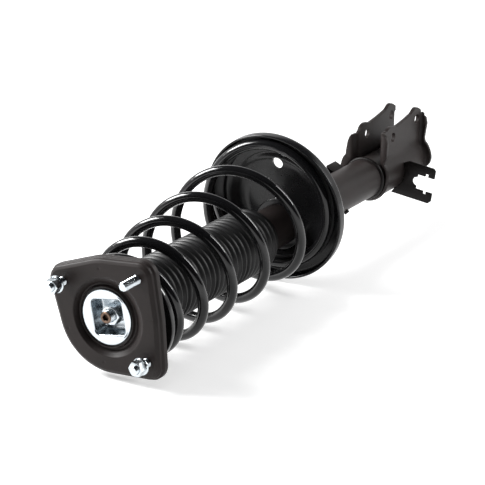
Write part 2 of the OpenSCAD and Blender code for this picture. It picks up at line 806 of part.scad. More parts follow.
// One half of the bracket: half sleeve, ear, and turned-out front and rear flanges. side is 1 or -1.
// flange lists how far the front flange stands out, as a share of its width, and at which height.
module bracket_half(side, flange) {
    ear_out = ear_x + bracket_t;
    sleeve_top_z = ear_low_z + 6;
    wide = 2 * sleeve_r;
    inside = 0.8;        // share of the way to the bend's centre that lies inside the tube
    front_top = flange[len(flange) - 1][1];
    rear_top_z = bolt2_z + 4.5;
    place() difference() {
        union() {
            intersection() {
                union() {
                    disc(sleeve_y, sleeve_r, ear_end_y - sleeve_y);
                    disc(sleeve_y, sleeve_r + collar_lip, 4);
                }
                slab(sleeve_y - 1, ear_end_y - sleeve_y + 2) scale([side, 1]) translate([split_gap / 2, -wide])
                    square([wide, wide + sleeve_top_z]);
            }
            cheek(side > 0 ? ear_x : -ear_x - bracket_t, bracket_t) ear_outline(front_top - 2);
            slab(front_flange_y, bracket_t) scale([side, 1]) polygon(concat(
                [[ear_x, -4], [sleeve_r - 1, -4]],
                [for (p = flange) [ear_out + p[0] * front_flange_w, p[1]]],
                [[ear_x, front_top - 5]]
            ));
            slab(ear_end_y - bracket_t, bracket_t) scale([side, 1]) polygon(concat(
                [[ear_x, -8], [sleeve_r - 1, -8]],
                [for (p = [[1, 0], [1.05, 18], [0.8, 35], [1, 50], [1, rear_top_z - 5], [0.5, rear_top_z]])
                    [ear_out + p[0] * rear_flange_w, p[1]]],
                [[ear_x, rear_top_z]]
            ));
        }
        disc(sleeve_y - 1, tube_r, ear_end_y - sleeve_y + 2);
        slab(sleeve_y - 1, ear_end_y - sleeve_y + 2) scale([side, 1]) difference() {
            polygon([[ear_x - 1, bend_z], [bend_x, bend_z], inside * [bend_x, bend_z],
                [ear_x - 1, inside * bend_z]]);
            translate([bend_x, bend_z]) circle(r = bend_r);
        }
        for (b = [[bolt1_y, bolt1_z], [bolt2_y, bolt2_z]])
            translate([0, b[0], b[1]]) rotate([0, 90, 0])
                cylinder(r = bolt_r, h = 2 * wide, center = true);
    }
}

module knuckle_bracket_left() {
    color(satin) bracket_half(-1, [[1.3, 12], [1.15, 20], [0.9, 34], [0.62, 44], [0.2, 52], [-0.2, 54.5]]);
}

module knuckle_bracket_right() {
    color(satin) bracket_half(1, [[0.7, 12], [0.7, 24], [1.02, 35], [1, 50], [0.9, 57], [0.5, 60.5], [0, 61]]);
}

// Plate with an open slot for the brake hose fitting, welded to the side of the sleeve
module hose_bracket() {
    top_z = 19;
    low_z = -30;
    mid_z = -5;
    root_x = sleeve_r - 2;
    notch = 4;
    color(gloss) place() rotate([0, hose_turn, 0]) difference() {
        slab(hose_y, hose_t) difference() {
            polygon([
                [root_x - 13, low_z], [hose_reach - 4, low_z], [hose_reach, low_z + 4],
                [hose_reach, top_z - 3], [hose_reach - 3, top_z], [root_x + 6, top_z], [root_x - 6, 12],
                [root_x - 6, low_z + 12]
            ]);
            translate([hose_reach - slot_depth, mid_z - slot_h / 2]) square([slot_depth + 1, slot_h]);
            translate([hose_reach - slot_depth, mid_z]) circle(r = slot_h * 0.3);
            for (z = [mid_z - slot_h / 2, mid_z + slot_h / 2])
                translate([hose_reach - 11 - notch / 2, z - notch]) square([notch, 2 * notch]);
        }
        disc(hose_y - 1, sleeve_r + eps, hose_t + 2);
        rotate([0, -hose_turn, 0]) translate([0, hose_y - 1, 0])
            cube([ear_x + bracket_t + eps, hose_t + 2, 2 * sleeve_r]);
    }
}

// Folded strip beside the tube that carries a sensor wire: a sloping top and a leg turned back down
module wire_clip() {
    strip = 2.2;
    top = tube_r * [cos(clip_at), sin(clip_at)];
    edge = top + clip_reach * [cos(clip_slope), sin(clip_slope)];
    foot_at = clip_at + 28;
    foot = (tube_r - 1) * [cos(foot_at), sin(foot_at)];
    color(gloss) place() difference() {
        slab(clip_y, clip_w) polygon([
            top - [0, 1], edge + [1, 0], edge, edge - [1, 1.5], foot - [1, 0.5], foot + [1.5, 0],
            edge + [0.8, -strip - 1], edge + [2, -strip - 0.6], top - [-1, strip + 2]
        ]);
        disc(clip_y - 1, tube_r, clip_w + 2);
    }
}

// Small tab on the underside of the tube
module tube_tab() {
    tab_h = 3.5;
    color(gloss) place() difference() {
        translate([0, tab_y, 0]) rotate([0, 48, 0]) translate([tube_r - 1, 0, -3]) cube([tab_h + 1, 4, 6]);
        disc(tab_y - 1, tube_r, 8);
    }
}

// Fillet welds: rings of triangular section that lie on the tube
module weld_ring(y, r, leg, dir) {
    along(y) rotate_extrude()
        polygon([[r, 0], [r + leg, 0], [r + leg * 0.35, dir * leg * 0.7], [r, dir * leg]]);
}

module seat_weld() {
    color(satin) place() weld_ring(neck_y + neck_len, tube_r, 3.2, 1);
}

module bracket_weld() {
    color(satin) place() weld_ring(sleeve_y, tube_r, 3, -1);
}

mount_plate();
mount_lower_plate();
mount_rubber();
mount_cup();
mount_studs();
stud_nuts();
rod_nut();
rod_washer();
bearing_upper_race();
bearing_balls();
bearing_cage();
bearing_lower_race();
upper_spring_seat();
upper_spring_pad();
bump_stop();
dust_boot();
coil_spring();
lower_spring_pad();
lower_spring_seat();
strut_tube();
tube_top_cap();
rod_seal();
rod_guide();
pressure_tube();
piston_rod();
rebound_cushion();
rebound_stop();
piston();
piston_band();
piston_nut();
foot_valve();
tube_base_cap();
knuckle_bracket_left();
knuckle_bracket_right();
hose_bracket();
wire_clip();
tube_tab();
seat_weld();
bracket_weld();
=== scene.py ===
"""Dresses a front suspension strut that lies on its side.

It builds plate, cup, studs, coil, boot, seats, tube and brackets round the strut's frame.
"""

import json
from math import acos, atan2, cos, hypot, pi, radians, sin, sqrt, tan

import bmesh
import bpy
import numpy as np
from bpy.props import FloatProperty, FloatVectorProperty, IntProperty, PointerProperty
from bpy.types import Operator, Panel, PropertyGroup
from mathutils import Matrix, Vector


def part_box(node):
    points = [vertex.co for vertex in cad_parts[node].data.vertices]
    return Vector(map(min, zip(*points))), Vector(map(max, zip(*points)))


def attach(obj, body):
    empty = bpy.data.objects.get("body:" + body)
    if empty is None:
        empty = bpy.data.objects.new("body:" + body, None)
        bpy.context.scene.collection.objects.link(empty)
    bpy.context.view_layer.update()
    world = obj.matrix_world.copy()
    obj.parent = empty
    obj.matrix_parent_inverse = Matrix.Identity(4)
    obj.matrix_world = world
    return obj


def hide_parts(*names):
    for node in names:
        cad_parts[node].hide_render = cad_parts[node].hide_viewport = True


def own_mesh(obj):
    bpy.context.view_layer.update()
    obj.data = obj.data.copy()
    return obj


bl_info = {
    "name": "Suspension strut",
    "version": (1, 0, 0),
    "blender": (4, 5, 0),
    "location": "View3D > Sidebar > Strut",
    "description": "Builds the visible pieces of a suspension strut round its frame",
    "category": "Add Mesh",
}

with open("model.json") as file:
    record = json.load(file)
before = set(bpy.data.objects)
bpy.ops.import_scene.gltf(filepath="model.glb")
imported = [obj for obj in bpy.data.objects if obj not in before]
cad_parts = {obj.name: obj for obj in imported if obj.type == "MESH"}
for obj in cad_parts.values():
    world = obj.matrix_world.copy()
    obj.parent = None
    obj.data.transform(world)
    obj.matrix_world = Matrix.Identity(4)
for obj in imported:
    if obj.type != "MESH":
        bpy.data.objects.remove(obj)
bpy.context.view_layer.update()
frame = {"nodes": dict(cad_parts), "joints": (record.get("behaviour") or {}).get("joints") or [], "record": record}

# Places are written in millimetres from the strut's axis: x to the right, s along the axis from
# the cup's face, and z up.
MM = 0.001
TUBE_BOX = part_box("strut_tube")
AXIS = Vector((
    (TUBE_BOX[0].x + TUBE_BOX[1].x) / 2,
    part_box("mount_cup")[0].y,
    (TUBE_BOX[0].z + TUBE_BOX[1].z) / 2,
))


def along(y):
    """Distance along the strut, in millimetres, of a place in the frame."""
    return (y - AXIS.y) / MM


def extent(node):
    """Where a node starts and ends along the strut, and half its width."""
    low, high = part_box(node)
    return along(low.y), along(high.y), (high.x - low.x) / 2 / MM


TUBE_FROM, TUBE_TO, TUBE_R = extent("strut_tube")
PLATE_FACE, PLATE_FOOT, _ = extent("mount_plate")
CUP_R = extent("mount_cup")[2]
BOOT_FROM, BOOT_TO, BOOT_R = extent("dust_boot")
SLEEVE_FROM, EAR_END, _ = extent("knuckle_bracket_left")
BOLTS = [
    (along(mount["pos_m"][1]), (mount["pos_m"][2] - AXIS.z) / MM)
    for mount in frame["record"]["mounts"] if mount["name"].startswith("knuckle_bolt")
]
TRAVEL = frame["joints"][0]["range_m"][1] / MM
# Each stud's distance from the axis and angle, and the turn of its lobe, in degrees.
STUDS = ((61, 149, 1.5), (66, 51, 0), (65.5, -35.5, -3))
NUTTED = (0, 2)  # the studs that carry a nut
LEAN = radians(6.5)  # of the coil and the lower seat against the strut
SPRING_S = 62  # where the leaning axis of the coil crosses the strut's
DISH_AT = (4, 336, 27.8)  # middle of the lower seat's rim


# ---------------------------------------------------------------- sizes and colours

def number(label, description, value):
    """A size or level that the panel shows."""
    return FloatProperty(name=label, description=description, default=value)


def tint(label, description, value):
    """A colour that the panel shows, in linear values."""
    return FloatVectorProperty(name=label, description=description, subtype="COLOR", default=value)


class StrutPlate(PropertyGroup):
    """Sizes of the top mount's pressed plate."""
    body_r: number("Body radius", "Radius of the plate's round body, mm", 62.8)
    body_x: number("Body offset", "Sideways place of the round body's centre, mm", 3)
    body_z: number("Body height", "Height of the round body's centre, mm", 1.8)
    lobe_r: number("Lobe radius", "Radius of the three corners, mm", 15.5)
    lobe_out: number("Lobe offset", "How far a lobe lies outside its stud, mm", 2.4)
    step: number("Skirt step", "How far the skirt's foot steps out, mm", 2)
    sheet: number("Sheet", "Thickness of the sheet, mm", 3)
    roll: number("Edge roll", "Radius of the plate's front edge, mm", 4)
    hollow_r: number("Hollow radius", "Radius of the hollow round the cup, mm", 46)
    hollow: number("Hollow depth", "Depth of the hollow, mm", 8)


class StrutCoil(PropertyGroup):
    """Sizes of the coil spring."""
    wire_r: number("Wire radius", "Radius of the spring wire, mm", 6)
    top_r: number("Top radius", "Radius of the first turn, mm", 57)
    low_r: number("Lower radius", "Radius of the last turn, mm", 75.5)
    turns: number("Turns", "Turns that rise from seat to seat", 5)
    flat_top: number("Flat at the top", "Turns that lie in the upper seat", 0.45)
    flat_low: number("Flat at the foot", "Turns that lie in the lower seat", 0.75)
    pitch_growth: number("Pitch growth", "Growth of the pitch in each turn, mm", 9.6)
    radius_growth: number("Flare growth", "Growth of the flare in each turn, mm", 0.66)
    phase: number("Phase", "Angle at which the rise starts, degrees", 95.8)


class StrutBoot(PropertyGroup):
    """Sizes of the ribbed boot."""
    ribs: IntProperty(name="Ribs", description="Number of ribs", default=25)
    depth: number("Rib depth", "Depth of the grooves, mm", 3)
    collar: number("Collar", "Length of the plain upper collar, mm", 14)
    foot: number("Foot", "Length of the plain collar on the tube, mm", 8)
    wall: number("Wall", "Thickness of the rubber, mm", 1.4)


class StrutDish(PropertyGroup):
    """Sizes of the lower spring seat."""
    rim_r: number("Rim radius", "Radius of the rolled rim, mm", 91.5)
    rim: number("Rim depth", "Depth of the rim, mm", 12)
    pan: number("Pan depth", "Depth of the pan below the coil's channel, mm", 11)
    pan_r: number("Pan radius", "Radius of the pan, mm", 59)
    sheet: number("Sheet", "Thickness of the sheet, mm", 3)


class StrutBracket(PropertyGroup):
    """Sizes of the knuckle bracket."""
    sheet: number("Sheet", "Thickness of the sheet, mm", 4.5)
    gap: number("Gap", "Width between the two ears, mm", 33)
    bend: number("Bend", "Radius of the sheet's middle line in a bend, mm", 6.5)
    bolt_r: number("Bolt hole", "Radius of the bolt holes, mm", 6.25)
    front: number("Front flange", "Full width of the front flange, mm", 12)
    rear: number("Rear flange", "Full width of the rear flange, mm", 10.8)


class StrutFinish(PropertyGroup):
    """Colours of the finishes."""
    satin: tint("Satin coat", "Dark coat of plate, tube and bracket", (0.0235, 0.0187, 0.0178))
    gloss: tint("Gloss coat", "Black coat of coil and lower seat", (0.006, 0.006, 0.0065))
    zinc: tint("Zinc", "Bright plate of cup, studs and nuts", (0.62, 0.67, 0.705))
    rubber: tint("Rubber", "Boot, pads and mount rubber", (0.012, 0.012, 0.0125))


class StrutStage(PropertyGroup):
    """Camera, lamps and floor."""
    lens: number("Lens", "Focal length, mm", 139.6)
    key: number("Key", "Radiance of the main lamp on the left", 29)
    strip: number("Strip", "Radiance of the two narrow lamps", 19)
    top: number("Top", "Radiance of the soft light from above", 0.8)
    floor: number("Floor", "Glow that keeps the floor pale", 0.44)


# ---------------------------------------------------------------- meshes

def rounded(corners, steps=6, closed=False):
    """Polyline through corners (u, v, radius), each corner rounded by its radius."""
    most = 0.49  # of an edge's length, for the bend at one of its ends
    line = []
    count = len(corners)
    for i, (u, v, r) in enumerate(corners):
        p = Vector((u, v))
        if r <= 0 or (not closed and i in (0, count - 1)):
            line.append(p)
            continue
        a = Vector(corners[i - 1][:2]) - p
        b = Vector(corners[(i + 1) % count][:2]) - p
        turn = a.angle(b)
        if turn > pi - 0.01:
            line.append(p)
            continue
        back = min(r / tan(turn / 2), most * a.length, most * b.length)
        r = back * tan(turn / 2)
        a.normalize()
        b.normalize()
        centre = p + (a + b).normalized() * (r / sin(turn / 2))
        first, last = p + a * back - centre, p + b * back - centre
        sweep = pi - turn
        for k in range(steps + 1):
            t = k / steps
            arm = first * sin((1 - t) * sweep) + last * sin(t * sweep)
            line.append(centre + arm / sin(sweep))
    return line


def place(points):
    """Points (x, s, z) in millimetres from the strut's axis, in the frame's metres."""
    return np.asarray(points, float) * MM + np.array(AXIS)


def lean(points, at):
    """Moves points from a leaning frame with its origin at (x, s, z) to the strut's."""
    p = np.asarray(points, float)
    x, s, z = p[..., 0], p[..., 1], p[..., 2]
    turned = [x, s * cos(LEAN) - z * sin(LEAN), s * sin(LEAN) + z * cos(LEAN)]
    return np.stack(turned, axis=-1) + np.array(at, float)


def full_turn(count):
    """Evenly spaced angles of one turn."""
    return np.linspace(0, 2 * pi, count, endpoint=False)


def ring(radius, s, angles, x=0, z=0):
    """Points round a line along the strut. Radius and s may differ from angle to angle."""
    s = np.broadcast_to(s, angles.shape)
    return np.stack([x + radius * np.cos(angles), s, z + radius * np.sin(angles)], axis=-1)


def turned_rings(profile, count, x=0, z=0):
    """Rings round a line along the strut, one for each (s, radius) of a profile."""
    return [ring(r, s, full_turn(count), x, z) for s, r in profile]


def hexagon(flats, angles):
    """Radius of a six-sided bar, whose flats are this far apart, at each angle."""
    return flats / 2 / np.cos((angles % (pi / 3)) - pi / 6)


def new_piece(name, data):
    piece = bpy.data.objects.new(name, data)
    bpy.context.scene.collection.objects.link(piece)
    return piece


def loft(name, rings, looped=False, sharp=35):
    """Skin over rings of equally many points. It closes on itself, or gets a cap at each end."""
    rings = np.asarray(rings)
    rows, count = rings.shape[:2]
    grid = np.arange(rows * count).reshape(rows, count)
    if looped:
        grid = np.vstack([grid, grid[:1]])
    a, b = grid[:-1], grid[1:]
    quads = np.stack([a, np.roll(a, -1, 1), np.roll(b, -1, 1), b], axis=-1).reshape(-1, 4)
    faces = quads.tolist()
    if not looped:
        faces += [grid[0][::-1].tolist(), grid[-1].tolist()]
    mesh = bpy.data.meshes.new(name)
    mesh.from_pydata(rings.reshape(-1, 3).tolist(), [], faces)
    return new_piece(name, finished(mesh, sharp))


def lathe(name, profile, count, **options):
    """A ring round the strut's axis with a closed profile of (s, radius)."""
    return loft(name, place(turned_rings(profile, count)), looped=True, **options)


def finished(mesh, sharp=35):
    """Turns faces outwards and smooths them, except at edges sharper than an angle in degrees."""
    work = bmesh.new()
    work.from_mesh(mesh)
    bmesh.ops.recalc_face_normals(work, faces=work.faces)
    work.to_mesh(mesh)
    work.free()
    mesh.shade_smooth()
    mesh.set_sharp_from_angle(angle=radians(sharp))
    return mesh


def joined(name, pieces):
    """One piece made of several separate solids."""
    work = bmesh.new()
    for piece in pieces:
        work.from_mesh(piece.data)
    mesh = bpy.data.meshes.new(name)
    work.to_mesh(mesh)
    work.free()
    for piece in pieces:
        bpy.data.objects.remove(piece)
    mesh.shade_smooth()
    mesh.set_sharp_from_angle(angle=radians(35))
    return new_piece(name, mesh)


def baked(piece):
    """Puts what the modifiers make into the mesh and takes the modifiers off."""
    graph = bpy.context.evaluated_depsgraph_get()
    mesh = bpy.data.meshes.new_from_object(piece.evaluated_get(graph))
    piece.modifiers.clear()
    piece.data = mesh


def add_bevel(piece, width, segments, angle):
    """Rounds the edges that are sharper than an angle in degrees, by a width in millimetres."""
    bevel = piece.modifiers.new("edges", "BEVEL")
    bevel.width = width * MM
    bevel.segments = segments
    bevel.limit_method = "ANGLE"
    bevel.angle_limit = radians(angle)
    bevel.use_clamp_overlap = True


def bevelled(name, node, width):
    """A new piece with the node's form, its flat faces made whole and its edges rounded."""
    mesh = frame["nodes"][node].data.copy()
    work = bmesh.new()
    work.from_mesh(mesh)
    bmesh.ops.remove_doubles(work, verts=work.verts, dist=2e-6)
    bmesh.ops.dissolve_limit(work, angle_limit=radians(0.5), verts=work.verts, edges=work.edges)
    work.to_mesh(mesh)
    work.free()
    mesh.materials.clear()
    piece = new_piece(name, mesh)
    add_bevel(piece, width, 3, 30)
    baked(piece)
    finished(piece.data, 40)
    return piece


def peg(start, end, radius, count=32):
    """A round cutter between two places (x, s, z) of the strut."""
    a, b = Vector(start), Vector(end)
    axis = (b - a).normalized()
    side = axis.orthogonal().normalized()
    up = axis.cross(side)
    arms = [cos(2 * pi * k / count) * side + sin(2 * pi * k / count) * up for k in range(count)]
    return loft("peg", place([[tuple(p + radius * arm) for arm in arms] for p in (a, b)]))


def bored(piece, cutters, sharp):
    """Cuts holes through a piece, after the modifiers that it has already."""
    for cutter in cutters:
        difference = piece.modifiers.new("cut", "BOOLEAN")
        difference.operation = "DIFFERENCE"
        difference.solver = "EXACT"
        difference.object = cutter
    baked(piece)
    for cutter in cutters:
        bpy.data.objects.remove(cutter)
    finished(piece.data, sharp)
    return piece


def dress(piece, body, slot, paint, *nodes):
    """Gives a piece its body and its finish, and hides the nodes that it stands for."""
    piece.data.materials.clear()
    piece.data.materials.append(finish(paint))
    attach(piece, body)
    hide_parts(*nodes)
    return piece


# ---------------------------------------------------------------- finishes

class Wire:
    """An output socket. Sums, products and the like of it add Math nodes."""

    def __init__(self, tree, socket):
        self.tree = tree
        self.socket = socket

    def maths(self, operation, *values):
        return self.tree.node("ShaderNodeMath", {"operation": operation}, dict(enumerate(values)))

    def __add__(self, other):
        return self.maths("ADD", self, other)

    __radd__ = __add__

    def __sub__(self, other):
        return self.maths("SUBTRACT", self, other)

    def __rsub__(self, other):
        return self.maths("SUBTRACT", other, self)

    def __mul__(self, other):
        return self.maths("MULTIPLY", self, other)

    __rmul__ = __mul__

    def clamped(self):
        return self.maths("MINIMUM", self.maths("MAXIMUM", self, 0.0), 1.0)


class Finish:
    """A material's node tree round one shader."""

    def __init__(self, name):
        self.material = bpy.data.materials.new(name)
        self.material.use_nodes = True
        self.tree = self.material.node_tree
        self.shader = self.tree.nodes["Principled BSDF"]
        self.spot = self.node("ShaderNodeTexCoord", output="Object")

    def node(self, kind, settings=None, inputs=None, output=0):
        """Adds a node: its settings first, then the values or links of its sockets."""
        node = self.tree.nodes.new(kind)
        for key, value in (settings or {}).items():
            setattr(node, key, value)
        for key, value in (inputs or {}).items():
            self.feed(node.inputs[key], value)
        return Wire(self, node.outputs[output])

    def feed(self, socket, value):
        if isinstance(value, Wire):
            self.tree.links.new(value.socket, socket)
        elif socket.type == "RGBA":
            socket.default_value = (*value, 1.0)
        else:
            socket.default_value = value

    def set(self, **values):
        """Feeds the shader's sockets, named with underscores for spaces."""
        for key, value in values.items():
            self.feed(self.shader.inputs[key.replace("_", " ")], value)

    def noise(self, scale, detail=2.0, rough=0.5):
        inputs = {"Vector": self.spot, "Scale": scale, "Detail": detail, "Roughness": rough}
        return self.node("ShaderNodeTexNoise", None, inputs)

    def mixed(self, factor, a, b):
        """Colour between a and b."""
        return self.node("ShaderNodeMix", {"data_type": "RGBA"}, {0: factor, 6: a, 7: b}, output=2)

    def bump(self, height, strength, distance, normal=None):
        inputs = {"Height": height, "Strength": strength, "Distance": distance}
        if normal:
            inputs["Normal"] = normal
        return self.node("ShaderNodeBump", None, inputs)


def shade(color, factor):
    return tuple(c * factor for c in color)


def satin_coat(name, color):
    """Dark coat over sheet steel: faint clouds, fine grain and a soft sheen."""
    f = Finish(name)
    clouds = f.noise(28, 3)
    grain = f.noise(1600, 2)
    patches = ((clouds - 0.35) * 2.2).clamped()
    f.set(
        Base_Color=f.mixed(patches, shade(color, 0.82), shade(color, 1.2)),
        Roughness=0.37 + 0.12 * clouds + 0.06 * grain,
        Specular_IOR_Level=0.18,
        Normal=f.bump(grain, 0.25, 0.00012, f.bump(clouds, 0.12, 0.0004)),
    )
    return f.material


def gloss_coat(name, color, blur, wet=1.0):
    """Wet black coat with a slight orange-peel skin."""
    f = Finish(name)
    peel = f.noise(260, 2)
    streaks = f.noise(45, 3)
    f.set(
        Base_Color=f.mixed(streaks, shade(color, 0.8), shade(color, 1.6)),
        Roughness=0.16 + 0.1 * streaks,
        Specular_IOR_Level=0.05,
        Normal=f.bump(peel, 0.10, 0.0002),
        Coat_Weight=wet,
        Coat_Roughness=blur,
        Coat_IOR=1.42,
    )
    return f.material


def zinc_plate(name, color):
    """Bright zinc with a bluish cast and fine drawn lines."""
    f = Finish(name)
    cast = f.noise(55, 2)
    drawn = f.noise(700, 3, 0.6)
    f.set(
        Base_Color=f.mixed(cast, shade(color, 0.86), color),
        Metallic=1.0,
        Roughness=0.18 + 0.1 * cast + 0.06 * drawn,
        Normal=f.bump(drawn, 0.08, 0.0001, f.bump(f.noise(90, 1), 0.1, 0.0006)),
    )
    return f.material


def rubber_skin(name, color, rough=0.55):
    """Moulded rubber with a dull bloom."""
    f = Finish(name)
    bloom = f.noise(60, 4)
    grain = f.noise(1200, 2)
    f.set(
        Base_Color=f.mixed(bloom, shade(color, 0.8), shade(color, 1.5)),
        Roughness=rough - 0.05 + 0.12 * bloom,
        Specular_IOR_Level=0.4,
        Normal=f.bump(grain, 0.3, 0.0001),
    )
    return f.material


def bare_steel(name, color, rough):
    """Machined steel with faint turning marks."""
    f = Finish(name)
    marks = f.noise(400, 3, 0.6)
    f.set(
        Base_Color=f.mixed(marks, shade(color, 0.8), color),
        Metallic=1.0,
        Roughness=rough - 0.05 + 0.1 * marks,
        Normal=f.bump(marks, 0.08, 0.0001),
    )
    return f.material


def plain_moulding(name, color, rough):
    """Moulded plastic or foam with a fine grain."""
    f = Finish(name)
    grain = f.noise(500, 4)
    f.set(
        Base_Color=f.mixed(grain, shade(color, 0.85), shade(color, 1.1)),
        Roughness=rough - 0.05 + 0.1 * grain,
        Normal=f.bump(grain, 0.3, 0.0003),
    )
    return f.material


FINISHES = {}


def finish(name):
    """The finish of that name, made when it is first asked for."""
    if name not in FINISHES:
        colors = bpy.context.scene.strut_finish
        maker, *values = {
            "satin_paint": (satin_coat, colors.satin),
            # The satin coat at 0.3 of its colour, for the small brackets and for the bracket's weld bead.
            "dark_paint": (satin_coat, shade(colors.satin, 0.3)),
            "gloss_paint": (gloss_coat, colors.gloss, 0.05),
            "seat_paint": (gloss_coat, shade(colors.gloss, 1.2), 0.17, 0.6),
            "zinc": (zinc_plate, colors.zinc),
            "rubber": (rubber_skin, colors.rubber),
            "boot_rubber": (rubber_skin, shade(colors.rubber, 0.55), 0.42),
            "steel": (bare_steel, (0.55, 0.56, 0.58), 0.3),
            "chrome_rod": (bare_steel, (0.75, 0.76, 0.78), 0.12),
            "rod_end": (bare_steel, (0.17, 0.115, 0.085), 0.38),
            "foam": (plain_moulding, (0.52, 0.42, 0.17), 0.8),
            "nylon": (plain_moulding, (0.07, 0.07, 0.06), 0.5),
        }[name]
        FINISHES[name] = maker(name, *values)
    return FINISHES[name]


# ---------------------------------------------------------------- top mount

def stud_place(i):
    r, angle, _ = STUDS[i]
    return r * cos(radians(angle)), r * sin(radians(angle))


def hull_radius(circles, angles):
    """Distance from the axis of the line stretched round circles (x, z, r), at each angle."""
    circles = np.array(circles, float)
    centres, radii = circles[:, :2], circles[:, 2]
    turn = np.radians(np.arange(0, 360, 0.25))
    rays = np.stack([np.cos(turn), np.sin(turn)], axis=-1)
    nearest = np.argmax(centres @ rays.T + radii[:, None], axis=0)
    edge = centres[nearest] + rays * radii[nearest][:, None]
    at = np.arctan2(edge[:, 1], edge[:, 0]) % (2 * pi)
    order = np.argsort(at)
    edge, at = edge[order], at[order]
    after = np.searchsorted(at, angles % (2 * pi)) % len(at)
    a, b = edge[after - 1], edge[after]
    x, z = np.cos(angles), np.sin(angles)
    return (a[:, 0] * b[:, 1] - a[:, 1] * b[:, 0]) / (x * (b - a)[:, 1] - z * (b - a)[:, 0])


def plate_circles(size, grow):
    """Circles of the plate's round body and its three lobes, grown by some millimetres."""
    circles = [(size.body_x, size.body_z, size.body_r + grow)]
    for r, angle, turn in STUDS:
        far, out = r + size.lobe_out, radians(angle + turn)
        circles.append((far * cos(out), far * sin(out), size.lobe_r + grow))
    return circles


class STRUT_OT_mount_plate(Operator):
    """Builds the pressed plate of the top mount: skirt, rolled edge, face, hollow and lip."""
    bl_idname = "strut.mount_plate"
    bl_label = "Mount plate"

    def execute(self, context):
        size = context.scene.strut_plate
        sheet, roll, depth, hollow_r = size.sheet, size.roll, size.hollow, size.hollow_r
        angles = full_turn(540)
        face, floor, back = PLATE_FACE, PLATE_FACE + depth, PLATE_FACE + sheet
        step_s = PLATE_FOOT - 0.45 * (PLATE_FOOT - face)
        hollow_x, hollow_z = 4.5, 2  # the hollow's mouth lies aside of the cup by this much

        def hull(grow):
            return hull_radius(plate_circles(size, grow), angles)

        def aside(radius, s, share):
            return ring(radius, s, angles, hollow_x * share, hollow_z * share)

        skirt = rounded([
            (size.step - sheet, PLATE_FOOT, 0), (size.step, PLATE_FOOT, 0.5),
            (size.step, step_s, 1.2), (0.1, step_s - 1.2, 1.0), (0, face + 2.2, 2.4),
            (-roll, face, 1.6), (-roll - 3.5, face, 0),
        ], 7)
        rings = [ring(hull(grow), s, angles) for grow, s in skirt]
        edge = hull(-roll - 3.5)
        face_rows = 14
        for k in range(1, face_rows + 1):
            share = k / face_rows
            rings.append(aside(edge * (1 - share) + hollow_r * share, face, share))
        wall_and_lip = rounded([
            (hollow_r, face, 0), (hollow_r - 2, face, depth / 2),
            (hollow_r - depth - 1, floor, depth / 2), (CUP_R + 4.2, floor, 3.2),
            (CUP_R + 2.9, face + 0.48 * depth, 0.9), (CUP_R + 2.3, face + 0.6 * depth, 0),
        ], 8)
        for radius, s in wall_and_lip[1:]:
            on_wall = radius > CUP_R + 5
            rings.append(aside(radius, s, max(1 - (s - face) / depth, 0) if on_wall else 0))
        inner = hull(-sheet)
        rings += [ring(radius, s, angles) for radius, s in [
            (CUP_R + 2.4, back + 0.6 * depth), (CUP_R + 4, back + depth),
            (hollow_r - 3, back + depth), (hollow_r + 1, back + 1), (hollow_r + 3, back),
            (inner - 2, back), (inner, back + 2), (inner, step_s),
        ]]
        rings = np.array(rings)
        self.dimple(rings)
        dress(loft("mount_plate_pressing", place(rings), looped=True, sharp=50), "mount",
              "satin_paint", "satin_paint", "mount_plate")
        return {"FINISHED"}

    @staticmethod
    def dimple(rings):
        """Presses four small locating dimples and the pads of the studs into the face."""
        face = np.abs(rings[..., 1] - PLATE_FACE) < 0.01
        dimples = [(-6, 54.4), (60.7, 9.7), (-46.1, -20.4), (-0.9, -49.2)]
        marks = [(x, z, 0.55, 1.3, 2) for x, z in dimples]
        marks += [(*stud_place(i), 0.5, 8.5, 6) for i in range(len(STUDS))]
        for x, z, depth, radius, steepness in marks:
            away = np.hypot(rings[..., 0] - x, rings[..., 2] - z)
            rings[..., 1] += np.where(face, depth * np.exp(-(away / radius) ** steepness), 0)


class STRUT_OT_mount_cup(Operator):
    """Builds the bright cup: round flange, square pocket with round edges, and floor."""
    bl_idname = "strut.mount_cup"
    bl_label = "Mount cup"

    def execute(self, context):
        angles = full_turn(360)
        turn = radians(10)
        half, corner, aside = 19.3, 5, 1.6
        depth, sheet, hole = 19, 2, 7.35
        reach = half - corner
        corners = [(aside + x * reach, z * reach) for x in (-1, 1) for z in (-1, 1)]
        corners = [(x * cos(turn) - z * sin(turn), x * sin(turn) + z * cos(turn))
                   for x, z in corners]

        def pocket(grow, s):
            radius = hull_radius([(x, z, corner + grow) for x, z in corners], angles)
            return ring(radius, s, angles)

        flange = [(sheet, CUP_R), (0.7, CUP_R), (0.2, CUP_R - 0.2), (0, CUP_R - 0.7),
                  (0, CUP_R - 2)]
        floor = [(depth, 10), (depth, hole), (depth + sheet, hole), (depth + sheet, 10)]
        inside = rounded([(3.4, 0, 0), (0, 0, 2.6), (0, depth, 3.2), (-6, depth, 0)], 8)
        outside = [(0, depth + sheet), (sheet - 0.3, depth + sheet - 0.6), (sheet, depth),
                   (sheet, 4), (sheet + 0.6, sheet)]
        rings = [ring(r, s, angles) for s, r in flange]
        rings += [pocket(grow, s) for grow, s in inside]
        rings += [ring(r, s, angles) for s, r in floor]
        rings += [pocket(grow, s) for grow, s in outside]
        dress(loft("mount_cup_pressing", place(rings), looped=True), "mount", "zinc", "zinc",
              "mount_cup")
        return {"FINISHED"}


